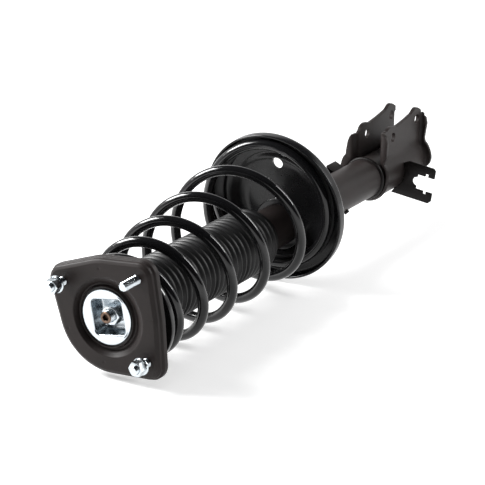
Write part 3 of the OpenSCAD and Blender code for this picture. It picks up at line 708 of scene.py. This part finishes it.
def threaded(x, z, tip, root, radius, socket=0.0):
    """Rings of a threaded bar from its tip to its root, with an optional hexagon socket."""
    pitch, bevel, per_pitch = 1.5, 1.2, 8
    groove = 0.42 * pitch
    angles = full_turn(60)
    rings = []
    if socket:
        six = hexagon(socket, angles)
        walls = ((six * 0.02, tip + 5), (six, tip + 4.6), (six, tip + 0.5), (six + 0.5, tip))
        rings = [ring(r, s, angles, x, z) for r, s in walls]
    steps = int((root - tip) / pitch * per_pitch)
    for k in range(steps + 1):
        s = tip + (root - tip) * k / steps
        wave = (s / pitch + angles / (2 * pi)) % 1.0
        cutting = groove * (1 - np.abs(2 * wave - 1) * 1.25).clip(0, 1)
        limit = radius - bevel + min(s - tip, bevel)
        rings.append(ring(np.minimum(radius - cutting, limit), s, angles, x, z))
    return rings


def hex_nut(name, x, z, front, back, flats, bore, flange=0.0):
    """A chamfered hexagon nut, with a round flange at its back where that has a radius."""
    angles = full_turn(144)
    six = hexagon(flats, angles)
    face_r = flats / 2 - 0.4
    chamfer = (six - face_r) * tan(radians(30))
    rows = [(bore, front + 0.8), (bore + 0.8, front), (flats / 2 - 0.6, front), (face_r, front),
            (six, front + chamfer)]
    if flange:
        top = back - 2
        rows += [(six, top - 0.9), (six + 0.35, top - 0.2), (flange - 1.2, top + 0.5),
                 (flange, back - 0.8), (flange, back)]
    else:
        rows += [(six, back - chamfer), (face_r, back)]
    rows.append((bore, back))
    return loft(name, place([ring(r, s, angles, x, z) for r, s in rows]), looped=True)


class STRUT_OT_fasteners(Operator):
    """Builds the studs with their threads, the flange nuts, the rod's nut and its washer."""
    bl_idname = "strut.fasteners"
    bl_label = "Studs and nuts"

    def execute(self, context):
        tip, root = extent("mount_studs")[0], PLATE_FACE + 3
        places = [stud_place(i) for i in range(len(STUDS))]
        head = rounded([(root, 5, 0), (root, 8, 0.4), (root + 2.5, 8, 0.4), (root + 2.5, 5, 0)])
        studs = [loft("stud", place(threaded(x, z, tip, root, 5))) for x, z in places]
        studs += [loft("head", place(turned_rings(head, 48, x, z))) for x, z in places]
        dress(joined("top_studs", studs), "mount", "zinc", "zinc", "mount_studs")
        front, back, _ = extent("stud_nuts")
        nuts = [hex_nut("nut", *places[i], front, back, 15, 4.7, flange=9.5) for i in NUTTED]
        dress(joined("flange_nuts", nuts), "mount", "zinc", "zinc", "stud_nuts")
        front, back, _ = extent("rod_nut")
        rod_nut = hex_nut("rod_end_nut", 0, 0, front, back, 20, 6.7)
        dress(rod_nut, "mount", "zinc", "zinc", "rod_nut")
        low, high, _ = extent("rod_washer")
        disc = rounded([(low, 7.2, 0.3), (low, 11, 0.7), (high, 11, 0.3), (high, 7.2, 0.3)],
                       closed=True)
        dress(lathe("rod_end_washer", disc, 96), "mount", "zinc", "zinc", "rod_washer")
        return {"FINISHED"}


class STRUT_OT_piston_rod(Operator):
    """Builds the damper's rod with its threaded and socketed end."""
    bl_idname = "strut.piston_rod"
    bl_label = "Piston rod"

    def execute(self, context):
        tip, end, _ = extent("piston_rod")
        shoulder, neck, rod_r = 21, end - 42, 11
        rings = threaded(0, 0, tip, shoulder - 1, 7, socket=6.8)
        rings += turned_rings([(shoulder, 6.9), (shoulder, 10.4), (shoulder + 0.6, rod_r),
                               (neck, rod_r), (neck, 7), (end, 7)], len(rings[0]))
        piece = dress(loft("damper_rod", place(rings)), "mount", "chrome_rod", "chrome_rod",
                      "piston_rod")
        piece.data.materials.append(finish("zinc"))
        piece.data.materials.append(finish("rod_end"))
        chrome, thread, tip_face = 0, 1, 2
        tip_depth, socket_r = 0.9, 4.2
        shoulder_y, front_y = AXIS.y + shoulder * MM, AXIS.y + (tip + tip_depth) * MM
        for part in piece.data.polygons:
            y = part.center.y
            away = hypot(part.center.x - AXIS.x, part.center.z - AXIS.z) / MM
            if y < shoulder_y:
                part.material_index = tip_face if y < front_y or away < socket_r else thread
            else:
                part.material_index = chrome
        return {"FINISHED"}


# ---------------------------------------------------------------- spring, boot and seats

def soft_max(a, b, softness):
    return (a + b + hypot(a - b, softness)) / 2


def unit(vectors):
    return vectors / np.linalg.norm(vectors, axis=-1)[..., None]


class STRUT_OT_coil_spring(Operator):
    """Builds the coil spring: round wire whose pitch and radius grow towards the lower seat."""
    bl_idname = "strut.coil_spring"
    bl_label = "Coil spring"

    def execute(self, context):
        size = context.scene.strut_coil
        dish = context.scene.strut_dish
        pad, gap, lead, overshoot = 2, 0.3, 2.5, 3
        top_w, per_turn, chamfer = -24, 90, 0.9
        dish_w = (DISH_AT[1] - SPRING_S) * cos(LEAN) + DISH_AT[2] * sin(LEAN)
        low_w = dish_w + dish.rim - pad - gap - size.wire_r
        pitch = (low_w - top_w) / size.turns - size.pitch_growth * size.turns / 2
        flare = (size.low_r + overshoot - size.top_r) / size.turns
        flare -= size.radius_growth * size.turns / 2

        def point(t):
            """Place on the wire's middle line after t turns, in the leaning frame."""
            up = max(t, 0)
            w = soft_max(top_w + pitch * t + size.pitch_growth * up * up / 2, top_w, lead)
            w = -soft_max(-w, -low_w, lead)
            r = size.top_r + flare * up + size.radius_growth * up * up / 2
            r = -soft_max(-r, -size.low_r, 1)
            a = radians(size.phase - 360 * t)
            return np.array([r * cos(a), w, r * sin(a)])

        first, last = -size.flat_top, size.turns + size.flat_low
        steps = int((last - first) * per_turn)
        path = np.array([point(first + (last - first) * k / steps) for k in range(steps + 1)])
        ahead = unit(np.gradient(path, axis=0))
        side = unit(np.cross(ahead, unit(path * [1, 0, 1])))
        up = np.cross(side, ahead)
        angles = full_turn(28)[None, :, None]
        circle = np.cos(angles) * up[:, None] + np.sin(angles) * side[:, None]
        rings = path[:, None] + size.wire_r * circle
        for end in (0, -1):
            rings[end] = path[end] + (size.wire_r - 0.5 * chamfer) * circle[end]
        piece = loft("coil_spring_wire", place(lean(rings, (0, SPRING_S, 0))), sharp=50)
        dress(piece, "strut", "gloss_paint", "gloss_paint", "coil_spring")
        seat_s = 345
        1 - TRAVEL / (seat_s - extent("coil_spring")[0])
        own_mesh(piece)
        return {"FINISHED"}


class STRUT_OT_dust_boot(Operator):
    """Builds the ribbed boot with its two collars and the lip that grips the tube."""
    bl_idname = "strut.dust_boot"
    bl_label = "Dust boot"

    def execute(self, context):
        size = context.scene.strut_boot
        wall = size.wall
        collar_r, low_r, grip_r = BOOT_R - 0.5, BOOT_R - size.depth, TUBE_R + 0.1
        first, last = BOOT_FROM + size.collar, BOOT_TO - size.foot
        pitch, per_rib = (last - first) / size.ribs, 12
        waves = []
        for k in range(size.ribs * per_rib + 1):
            crest = abs(sin(pi * k / per_rib)) ** 1.5
            waves.append((first + pitch * k / per_rib, low_r + size.depth * crest))
        collar = rounded([
            (BOOT_FROM, collar_r - 4, 0), (BOOT_FROM, collar_r, 1.2),
            (first - 1.5, collar_r, 0.8), (first, low_r, 0)])
        foot = rounded([
            (last, low_r, 0), (last + 1.5, low_r, 0.5), (BOOT_TO - 4, low_r, 1.5),
            (BOOT_TO, low_r - 2.5, 1.0), (BOOT_TO, grip_r, 0)])
        lip_s = BOOT_TO - 2 * wall
        inner = [(lip_s, grip_r), (lip_s, low_r - wall)]
        inner += [(s, r - wall) for s, r in reversed(waves)]
        inner += [(first - 1, collar_r - wall), (BOOT_FROM + wall, collar_r - wall),
                  (BOOT_FROM + wall, collar_r - 4)]
        outer = [tuple(p) for p in collar] + waves + [tuple(p) for p in foot]
        piece = lathe("ribbed_boot", outer + inner, 144, sharp=60)
        dress(piece, "strut", "boot_rubber", "boot_rubber", "dust_boot")
        AXIS + Vector((0, BOOT_TO * MM, 0))
        1 - TRAVEL / (BOOT_TO - BOOT_FROM)
        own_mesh(piece)
        return {"FINISHED"}


class STRUT_OT_lower_seat(Operator):
    """Builds the lower spring seat: rolled rim, channel, pan, holes and the neck on the tube."""
    bl_idname = "strut.lower_seat"
    bl_label = "Lower seat"

    def execute(self, context):
        size = context.scene.strut_dish
        t, rim, pan, pan_r = size.sheet, size.rim, size.rim + size.pan, size.pan_r
        wall, channel = size.rim_r - t, pan_r + 5
        profile = rounded([
            (1, pan, 0), (pan_r - 6, pan, 30), (channel + 5, rim, 22), (wall, rim, 4),
            (wall, 0, 1.4), (size.rim_r, 0, 1.4), (size.rim_r, rim + t, 6),
            (channel + 6, rim + t, 19), (pan_r - 5, pan + t, 26), (1, pan + t, 0),
        ], 9)
        rings = turned_rings([(w, r) for r, w in profile], 240)
        dish = loft("lower_seat_dish", place(lean(rings, DISH_AT)), looped=True, sharp=50)
        floor_s = DISH_AT[1] + pan
        neck_hole = TUBE_R + 2.9
        cutters = [peg((0, floor_s - 60, 0), (0, floor_s + 60, 0), neck_hole, 96)]
        drain, small_holes = (1, 79, 6.9), ((-4.4, 31.2, 2), (23, -21.5, 2))
        for x, z, r in (drain, *small_holes):
            cutters.append(peg((x, floor_s - 40, z), (x, floor_s + 40, z), r))
        bored(dish, cutters, 35)
        neck_s = extent("seat_weld")[0]
        neck = rounded([
            (TUBE_R, floor_s - 1, 0), (TUBE_R + 9, floor_s - 1, 2), (TUBE_R + t, floor_s + 7, 6),
            (TUBE_R + t, neck_s, 1), (TUBE_R, neck_s, 0)], 6)
        collar = lathe("neck", [(s, r) for r, s in neck], 144, sharp=50)
        dress(joined("lower_seat_pressing", [dish, collar]), "strut", "gloss_paint",
              "seat_paint", "lower_spring_seat")
        return {"FINISHED"}


class STRUT_OT_upper_seat(Operator):
    """Builds the upper spring seat and the rubber pads of both seats."""
    bl_idname = "strut.upper_seat"
    bl_label = "Upper seat and pads"

    def execute(self, context):
        dress(bevelled("upper_seat_pressing", "upper_spring_seat", 0.8), "seat",
              "gloss_paint", "gloss_paint", "upper_spring_seat")
        for node, body in (("upper_spring_pad", "seat"), ("lower_spring_pad", "strut")):
            dress(bevelled(node + "_rubber", node, 0.5), body, "rubber", "rubber", node)
        return {"FINISHED"}


# ---------------------------------------------------------------- tube and brackets

def weld_bead(name, s, leg, way, rough):
    """A rippled bead round the tube at s, that grows thinner along its way, 1 or -1."""
    angles = full_turn(220)
    root = TUBE_R - 0.3
    ripple = np.sin(angles * 46) + 0.7 * np.sin(angles * 7 + 1) + 0.6 * np.sin(angles * 19)
    ripple = 1 + rough * ripple
    rings = []
    for turn in np.linspace(0, pi / 2, 9):
        r = root + (leg * cos(turn) + 0.3) * ripple
        rings.append(ring(r, s + way * leg * sin(turn) * ripple, angles))
    rings.append(ring(root, s, angles))
    return loft(name, place(rings), looped=True, sharp=60)


class STRUT_OT_tube(Operator):
    """Builds the strut tube with its two weld beads."""
    bl_idname = "strut.tube"
    bl_label = "Strut tube"

    def execute(self, context):
        bore = TUBE_R - 2.5
        profile = rounded([(TUBE_FROM, bore, 0.2), (TUBE_FROM, TUBE_R, 0.2),
                           (TUBE_TO, TUBE_R, 0.7), (TUBE_TO, bore, 0.7)], closed=True)
        tube = lathe("tube_outer", profile, 160)
        dress(tube, "strut", "satin_paint", "satin_paint", "strut_tube")
        bead = weld_bead("seat_weld_bead", extent("seat_weld")[0], 3.2, 1, 0.07)
        dress(bead, "strut", "satin_paint", "satin_paint", "seat_weld")
        # The bracket's bead takes the satin coat at 0.3 of its colour, so it renders as a ring much darker than
        # the tube and the sleeve round it.
        bead = weld_bead("bracket_weld_bead", extent("bracket_weld")[1], 3, -1, 0.02)
        dress(bead, "strut", "satin_paint", "dark_paint", "bracket_weld")
        return {"FINISHED"}


# Widths of the bracket's flanges at heights above the axis, as shares of the full width, and
# the height at which the ear's front corner starts.
FRONT_FLANGE = {
    "left": ((-60, 0.2), (-20, 0.3), (5, 0.8), (16, 1.1), (33, 0.95), (44, 0.8), (51, 0.6),
             (55, 0.4)),
    "right": ((-60, 0.2), (-10, 0.25), (18, 0.4), (30, 0.8), (50, 0.85), (57, 0.65), (61, 0.3)),
}
REAR_FLANGE = ((-60, 0.03), (-12, 0.03), (-5, 0.7), (2, 0.95), (18, 0.95), (30, 0.75), (50, 1),
               (58, 0.85), (62, 0.5))
CORNER = {"left": 55.0, "right": 60.5}


def level(table, at):
    """Value of a table of pairs at a place between them."""
    return float(np.interp(at, *zip(*table)))


class STRUT_OT_knuckle_bracket(Operator):
    """Builds both halves of the knuckle bracket from bent sheet, with flanges and bolt holes."""
    bl_idname = "strut.knuckle_bracket"
    bl_label = "Knuckle bracket"

    def execute(self, context):
        size = context.scene.strut_bracket
        for side, sign in (("left", -1), ("right", 1)):
            piece = self.half(size, side, sign)
            dress(piece, "strut", "satin_paint", "satin_paint", f"knuckle_bracket_{side}")
        return {"FINISHED"}

    def half(self, size, side, sign):
        """A sheet that wraps the tube, rises to the ear and turns out at its front and rear."""
        half_t, corner = size.sheet / 2, CORNER[side]
        wrap, ear_x = TUBE_R + half_t + 0.05, size.gap / 2 + half_t
        junction = sqrt(wrap * wrap - ear_x * ear_x)
        start, end = SLEEVE_FROM + half_t, EAR_END - half_t
        outline = self.outline(corner)
        flange_rows, sheet_rows = 8, 64
        rows = [("front", k / flange_rows) for k in range(flange_rows, 0, -1)]
        rows += [("sheet", k / sheet_rows) for k in range(sheet_rows + 1)]
        rows += [("rear", k / flange_rows) for k in range(1, flange_rows + 1)]
        grid = []
        for way, share in rows:
            ear_s = self.front_of(corner, start) + size.bend
            ear_s += {"front": 0, "rear": end - ear_s}.get(way, (end - ear_s) * share)
            top = level(outline, ear_s) - (2 * share ** 3 if way != "sheet" else 0)
            line = self.profile(wrap, ear_x, junction, top)
            row = []
            for i, p in enumerate(line):
                front_s = self.front_of(p.y, start) + size.bend
                rear_s = end - size.bend * (1 - min(max((p.y - 60) / 5, 0), 1))
                if way == "sheet":
                    spot_s, away = front_s + (rear_s - front_s) * share, 0
                elif way == "front":
                    width = size.front * level(FRONT_FLANGE[side], p.y)
                    forward, away = self.curl(width, size.bend, share)
                    spot_s = front_s - forward
                else:
                    forward, away = self.curl(size.rear * level(REAR_FLANGE, p.y), size.bend, share)
                    spot_s = rear_s + forward
                ahead = line[min(i + 1, len(line) - 1)] - line[max(i - 1, 0)]
                spot = p + Vector((ahead.y, -ahead.x)).normalized() * away
                row.append((spot.x, spot_s, spot.y))
            grid.append(row)
        piece = self.sheet_of(f"knuckle_ear_{side}", np.array(grid), half_t, sign)
        add_bevel(piece, 0.8, 2, 60)
        return bored(piece, [peg((-80, s, z), (80, s, z), size.bolt_r) for s, z in BOLTS], 40)

    @staticmethod
    def sheet_of(name, grid, half_t, sign):
        """A solid of even thickness round a grid of points, mirrored where the sign is -1."""
        across = unit(np.cross(np.gradient(grid, axis=0), np.gradient(grid, axis=1)))
        rows, count = grid.shape[:2]
        points = np.concatenate([(grid + face * half_t * across).reshape(-1, 3)
                                 for face in (1, -1)])
        points[:, 0] *= sign
        index = np.arange(rows * count).reshape(rows, count)
        a, b, c, d = index[:-1, :-1], index[:-1, 1:], index[1:, 1:], index[1:, :-1]
        faces = np.stack([a, b, c, d], axis=-1).reshape(-1, 4).tolist()
        faces += [[v + rows * count for v in reversed(face)] for face in faces]
        border = [*index[0], *index[1:, -1], *index[-1, -2::-1], *index[-2:0:-1, 0]]
        for v, w in zip(border, border[1:] + border[:1]):
            faces.append([int(w), int(v), int(v) + rows * count, int(w) + rows * count])
        mesh = bpy.data.meshes.new("ear")
        mesh.from_pydata(place(points).tolist(), [], faces)
        return new_piece(name, finished(mesh, 40))

    @staticmethod
    def front_of(z, start):
        """Where the sheet's front lies: the ears stand a little behind the sleeve's edge."""
        return start + 4 * min(max((z + 2) / 20, 0), 1)

    @staticmethod
    def curl(width, bend, share):
        """How far forward and outward a point lies on a bend and the flange beyond it."""
        arc = bend * pi / 2
        total = arc + width - bend if width > bend else bend * acos(1 - width / bend)
        run = total * share
        if run <= arc:
            return bend * sin(run / bend), bend * (1 - cos(run / bend))
        return bend, bend + run - arc

    @staticmethod
    def outline(corner):
        """Upper edge of an ear, from the front flange's top past both bolts to the rear."""
        (s1, z1), (s2, z2) = BOLTS
        front = [
            (s1 - 24, corner), (s1 - 21, max(corner + 1, z1 + 8)), (s1 - 17.5, z1 + 12.2),
            (s1 - 13, z1 + 14.7), (s1 - 8, z1 + 15.6), (s1, z1 + 14.8)]
        dip = [(s1 + 9.5, z1 + 12.7), (s1 + 23.5, z1 + 14.5), (s1 + 36, z1 + 16.4)]
        shoulder = [(s2 - 22, z2 + 9.6), (s2 - 17, z2 + 10.3)]
        tip = [(s2 - 3 + 14 * cos(a), z2 + 2 + 14.2 * sin(a))
               for a in np.radians(np.arange(130, 46, -12))]
        return front + dip + shoulder + tip + [(s2 + 11.6, z2 + 10.4), (s2 + 14, z2 + 5)]

    @staticmethod
    def profile(wrap, ear_x, junction, top):
        """The sheet's middle line from under the tube, round its side and up the ear."""
        low, high, foot = -acos(0.6 / wrap), atan2(junction, ear_x) - 0.2, junction + 6.5
        points = [Vector((wrap * cos(a), wrap * sin(a))) for a in np.linspace(low, high, 30)]
        first, bend, last = points[-1], Vector((ear_x, junction - 0.5)), Vector((ear_x, foot))
        for k in range(1, 9):
            u = k / 9
            points.append(first * (1 - u) ** 2 + bend * (2 * u * (1 - u)) + last * u * u)
        points += [Vector((ear_x, foot + (top - foot) * k / 24)) for k in range(25)]
        return points


class STRUT_OT_small_brackets(Operator):
    """Builds the hose bracket, the wire clip and the small tab."""
    bl_idname = "strut.small_brackets"
    bl_label = "Small brackets"

    def execute(self, context):
        for name, node, edge in (("hose_holder", "hose_bracket", 0.7),
                                 ("wire_holder", "wire_clip", 0.4),
                                 ("small_tab", "tube_tab", 0.5)):
            dress(bevelled(name, node, edge), "strut", "gloss_paint", "dark_paint", node)
        return {"FINISHED"}


class STRUT_OT_inner_parts(Operator):
    """Gives the pieces inside the mount and the damper their finishes."""
    bl_idname = "strut.inner_parts"
    bl_label = "Inner parts"

    def execute(self, context):
        for paint, nodes in {
            "steel": ("bearing_upper_race", "bearing_balls", "bearing_lower_race", "tube_top_cap",
                      "rod_guide", "pressure_tube", "rebound_stop", "piston", "piston_nut",
                      "foot_valve"),
            "rubber": ("mount_rubber", "rod_seal", "rebound_cushion"),
            "satin_paint": ("mount_lower_plate", "tube_base_cap"),
            "nylon": ("bearing_cage", "piston_band"),
            "foam": ("bump_stop",),
        }.items():
            for node in nodes:
                materials = frame["nodes"][node].data.materials
                materials.clear()
                materials.append(finish(paint))
        return {"FINISHED"}


# ---------------------------------------------------------------- stage

def heading(turn, rise):
    """Direction turned from +Y towards +X and risen above the floor, in degrees."""
    turn, rise = radians(turn), radians(rise)
    return Vector((sin(turn) * cos(rise), cos(turn) * cos(rise), sin(rise)))


def lamp(name, radiance, width, height, way, distance, towards):
    """A soft rectangular lamp in a direction from a place in the frame, that shines on it."""
    light = bpy.data.lights.new(name, "AREA")
    light.shape = "RECTANGLE"
    light.size = width
    light.size_y = height
    light.energy = radiance * pi * width * height
    piece = new_piece(name, light)
    piece.location = Vector(towards) + way * distance
    piece.rotation_euler = way.to_track_quat("Z", "Y").to_euler()
    return piece


class STRUT_OT_stage(Operator):
    """Sets the camera, the floor, the dark cloth round the set, the room's light and the lamps."""
    bl_idname = "strut.stage"
    bl_label = "Stage"

    def execute(self, context):
        size = context.scene.strut_stage
        scene = context.scene
        scene.view_settings.view_transform = "Standard"
        middle = place((0, 250, 0)).tolist()
        self.set_camera(scene, size.lens)
        self.set_floor(size.floor)
        self.set_cloth(middle)
        self.set_room(scene)
        lamp("key", size.key, 0.75, 0.6, heading(-110, 36), 1.5, middle)
        lamp("strip_left", size.strip, 0.06, 1.0, heading(-112, 36), 1.45, middle)
        lamp("strip_right", size.strip, 0.22, 0.8, heading(48, 34), 1.5, middle)
        top = lamp("top", size.top, 1.6, 1.6, heading(150, 62), 1.6, middle)
        top.visible_glossy = False
        return {"FINISHED"}

    @staticmethod
    def set_camera(scene, lens):
        camera = bpy.data.cameras.new("camera")
        camera.lens = lens
        camera.sensor_width = 36
        camera.clip_start = 0.05
        camera.clip_end = 30
        holder = new_piece("camera", camera)
        right, up = Vector((0.8569, 0.5153, 0.0094)), Vector((-0.1772, 0.2775, 0.9442))
        back = right.cross(up)
        turn = Matrix((right, up, back)).transposed().to_4x4()
        spot = place((1058.4, -1497.6, 721.5)).tolist()
        holder.matrix_world = Matrix.Translation(spot) @ turn
        scene.camera = holder

    @staticmethod
    def set_floor(glow):
        """Pale floor that glows a little where rays see it, and somewhat more far away."""
        half, near, growth, far_glow = 8, 0.7, 0.6, 0.14
        corners = [(x * half, y * half, 0) for x, y in ((-1, -1), (1, -1), (1, 1), (-1, 1))]
        mesh = bpy.data.meshes.new("floor")
        mesh.from_pydata(corners, [], [(0, 1, 2, 3)])
        f = Finish("floor")
        path = f.tree.nodes.new("ShaderNodeLightPath")
        camera, glossy, through = (Wire(f, path.outputs[f"Is {ray} Ray"])
                                   for ray in ("Camera", "Glossy", "Transmission"))
        seen = (camera + glossy + through).clamped()
        away = f.node("ShaderNodeVectorMath", {"operation": "LENGTH"}, {0: f.spot}, output=1)
        far = ((away - near) * growth).clamped()
        light = f.node("ShaderNodeEmission", None,
                       {"Color": (1, 1, 1), "Strength": seen * (glow + far * far_glow)})
        matte = f.node("ShaderNodeBsdfDiffuse", None, {"Color": (0.8, 0.8, 0.8)})
        both = f.node("ShaderNodeAddShader", None, {0: light, 1: matte})
        f.tree.links.new(both.socket, f.tree.nodes["Material Output"].inputs["Surface"])
        f.tree.nodes.remove(f.shader)
        mesh.materials.append(f.material)
        new_piece("floor", mesh)

    @staticmethod
    def set_cloth(middle):
        """Dark cloth over the set and at its right, which the camera doesn't see."""
        radius, rises = 5, (38, 45, 55, 70, 89)
        centre = Vector((middle[0], middle[1], 0))
        around = range(0, 360, 10)
        count = len(around)
        points = [centre + heading(turn, rise) * radius for rise in rises for turn in around]
        faces = [(r * count + i, r * count + (i + 1) % count,
                  (r + 1) * count + (i + 1) % count, (r + 1) * count + i)
                 for r in range(len(rises) - 1) for i in range(count)]
        faces.append(tuple(range(len(points) - count, len(points))))
        low = len(points)
        right_side = range(60, 221, 10)
        points += [centre + heading(turn, rise) * radius
                   for turn in right_side for rise in (-1, rises[0])]
        faces += [(low + i, low + i + 2, low + i + 3, low + i + 1)
                  for i in range(0, 2 * len(right_side) - 2, 2)]
        mesh = bpy.data.meshes.new("cloth")
        mesh.from_pydata([tuple(p) for p in points], [], faces)
        cloth = new_piece("cloth", mesh)
        f = Finish("cloth")
        f.set(Base_Color=(0.02, 0.022, 0.028), Roughness=1.0, Specular_IOR_Level=0.0)
        mesh.materials.append(f.material)
        cloth.visible_camera = False
        cloth.visible_shadow = False

    @staticmethod
    def set_room(scene):
        world = bpy.data.worlds.new("room")
        scene.world = world
        world.use_nodes = True
        background = world.node_tree.nodes["Background"]
        background.inputs["Color"].default_value = (1, 1, 1, 1)
        background.inputs["Strength"].default_value = 1.0


# ---------------------------------------------------------------- add-on

STEPS = (
    STRUT_OT_stage, STRUT_OT_inner_parts, STRUT_OT_mount_plate, STRUT_OT_mount_cup,
    STRUT_OT_fasteners, STRUT_OT_piston_rod, STRUT_OT_upper_seat, STRUT_OT_coil_spring,
    STRUT_OT_dust_boot, STRUT_OT_lower_seat, STRUT_OT_tube, STRUT_OT_knuckle_bracket,
    STRUT_OT_small_brackets,
)
GROUPS = {
    "strut_plate": StrutPlate, "strut_coil": StrutCoil, "strut_boot": StrutBoot,
    "strut_dish": StrutDish, "strut_bracket": StrutBracket, "strut_finish": StrutFinish,
    "strut_stage": StrutStage,
}


class STRUT_PT_panel(Panel):
    """Lists the steps and the sizes."""
    bl_idname = "STRUT_PT_panel"
    bl_label = "Suspension strut"
    bl_space_type = "VIEW_3D"
    bl_region_type = "UI"
    bl_category = "Strut"

    def draw(self, context):
        for step in STEPS:
            self.layout.operator(step.bl_idname)
        for name, group in GROUPS.items():
            box = self.layout.box()
            for key in group.__annotations__:
                box.prop(getattr(context.scene, name), key)


def register():
    for group in GROUPS.values():
        bpy.utils.register_class(group)
    for cls in (*STEPS, STRUT_PT_panel):
        bpy.utils.register_class(cls)
    for name, group in GROUPS.items():
        setattr(bpy.types.Scene, name, PointerProperty(type=group))


def unregister():
    for name in GROUPS:
        delattr(bpy.types.Scene, name)
    for cls in reversed((*GROUPS.values(), *STEPS, STRUT_PT_panel)):
        bpy.utils.unregister_class(cls)


def main():
    register()
    for step in STEPS:
        group, name = step.bl_idname.split(".")
        getattr(getattr(bpy.ops, group), name)()


if __name__ == "__main__":
    main()
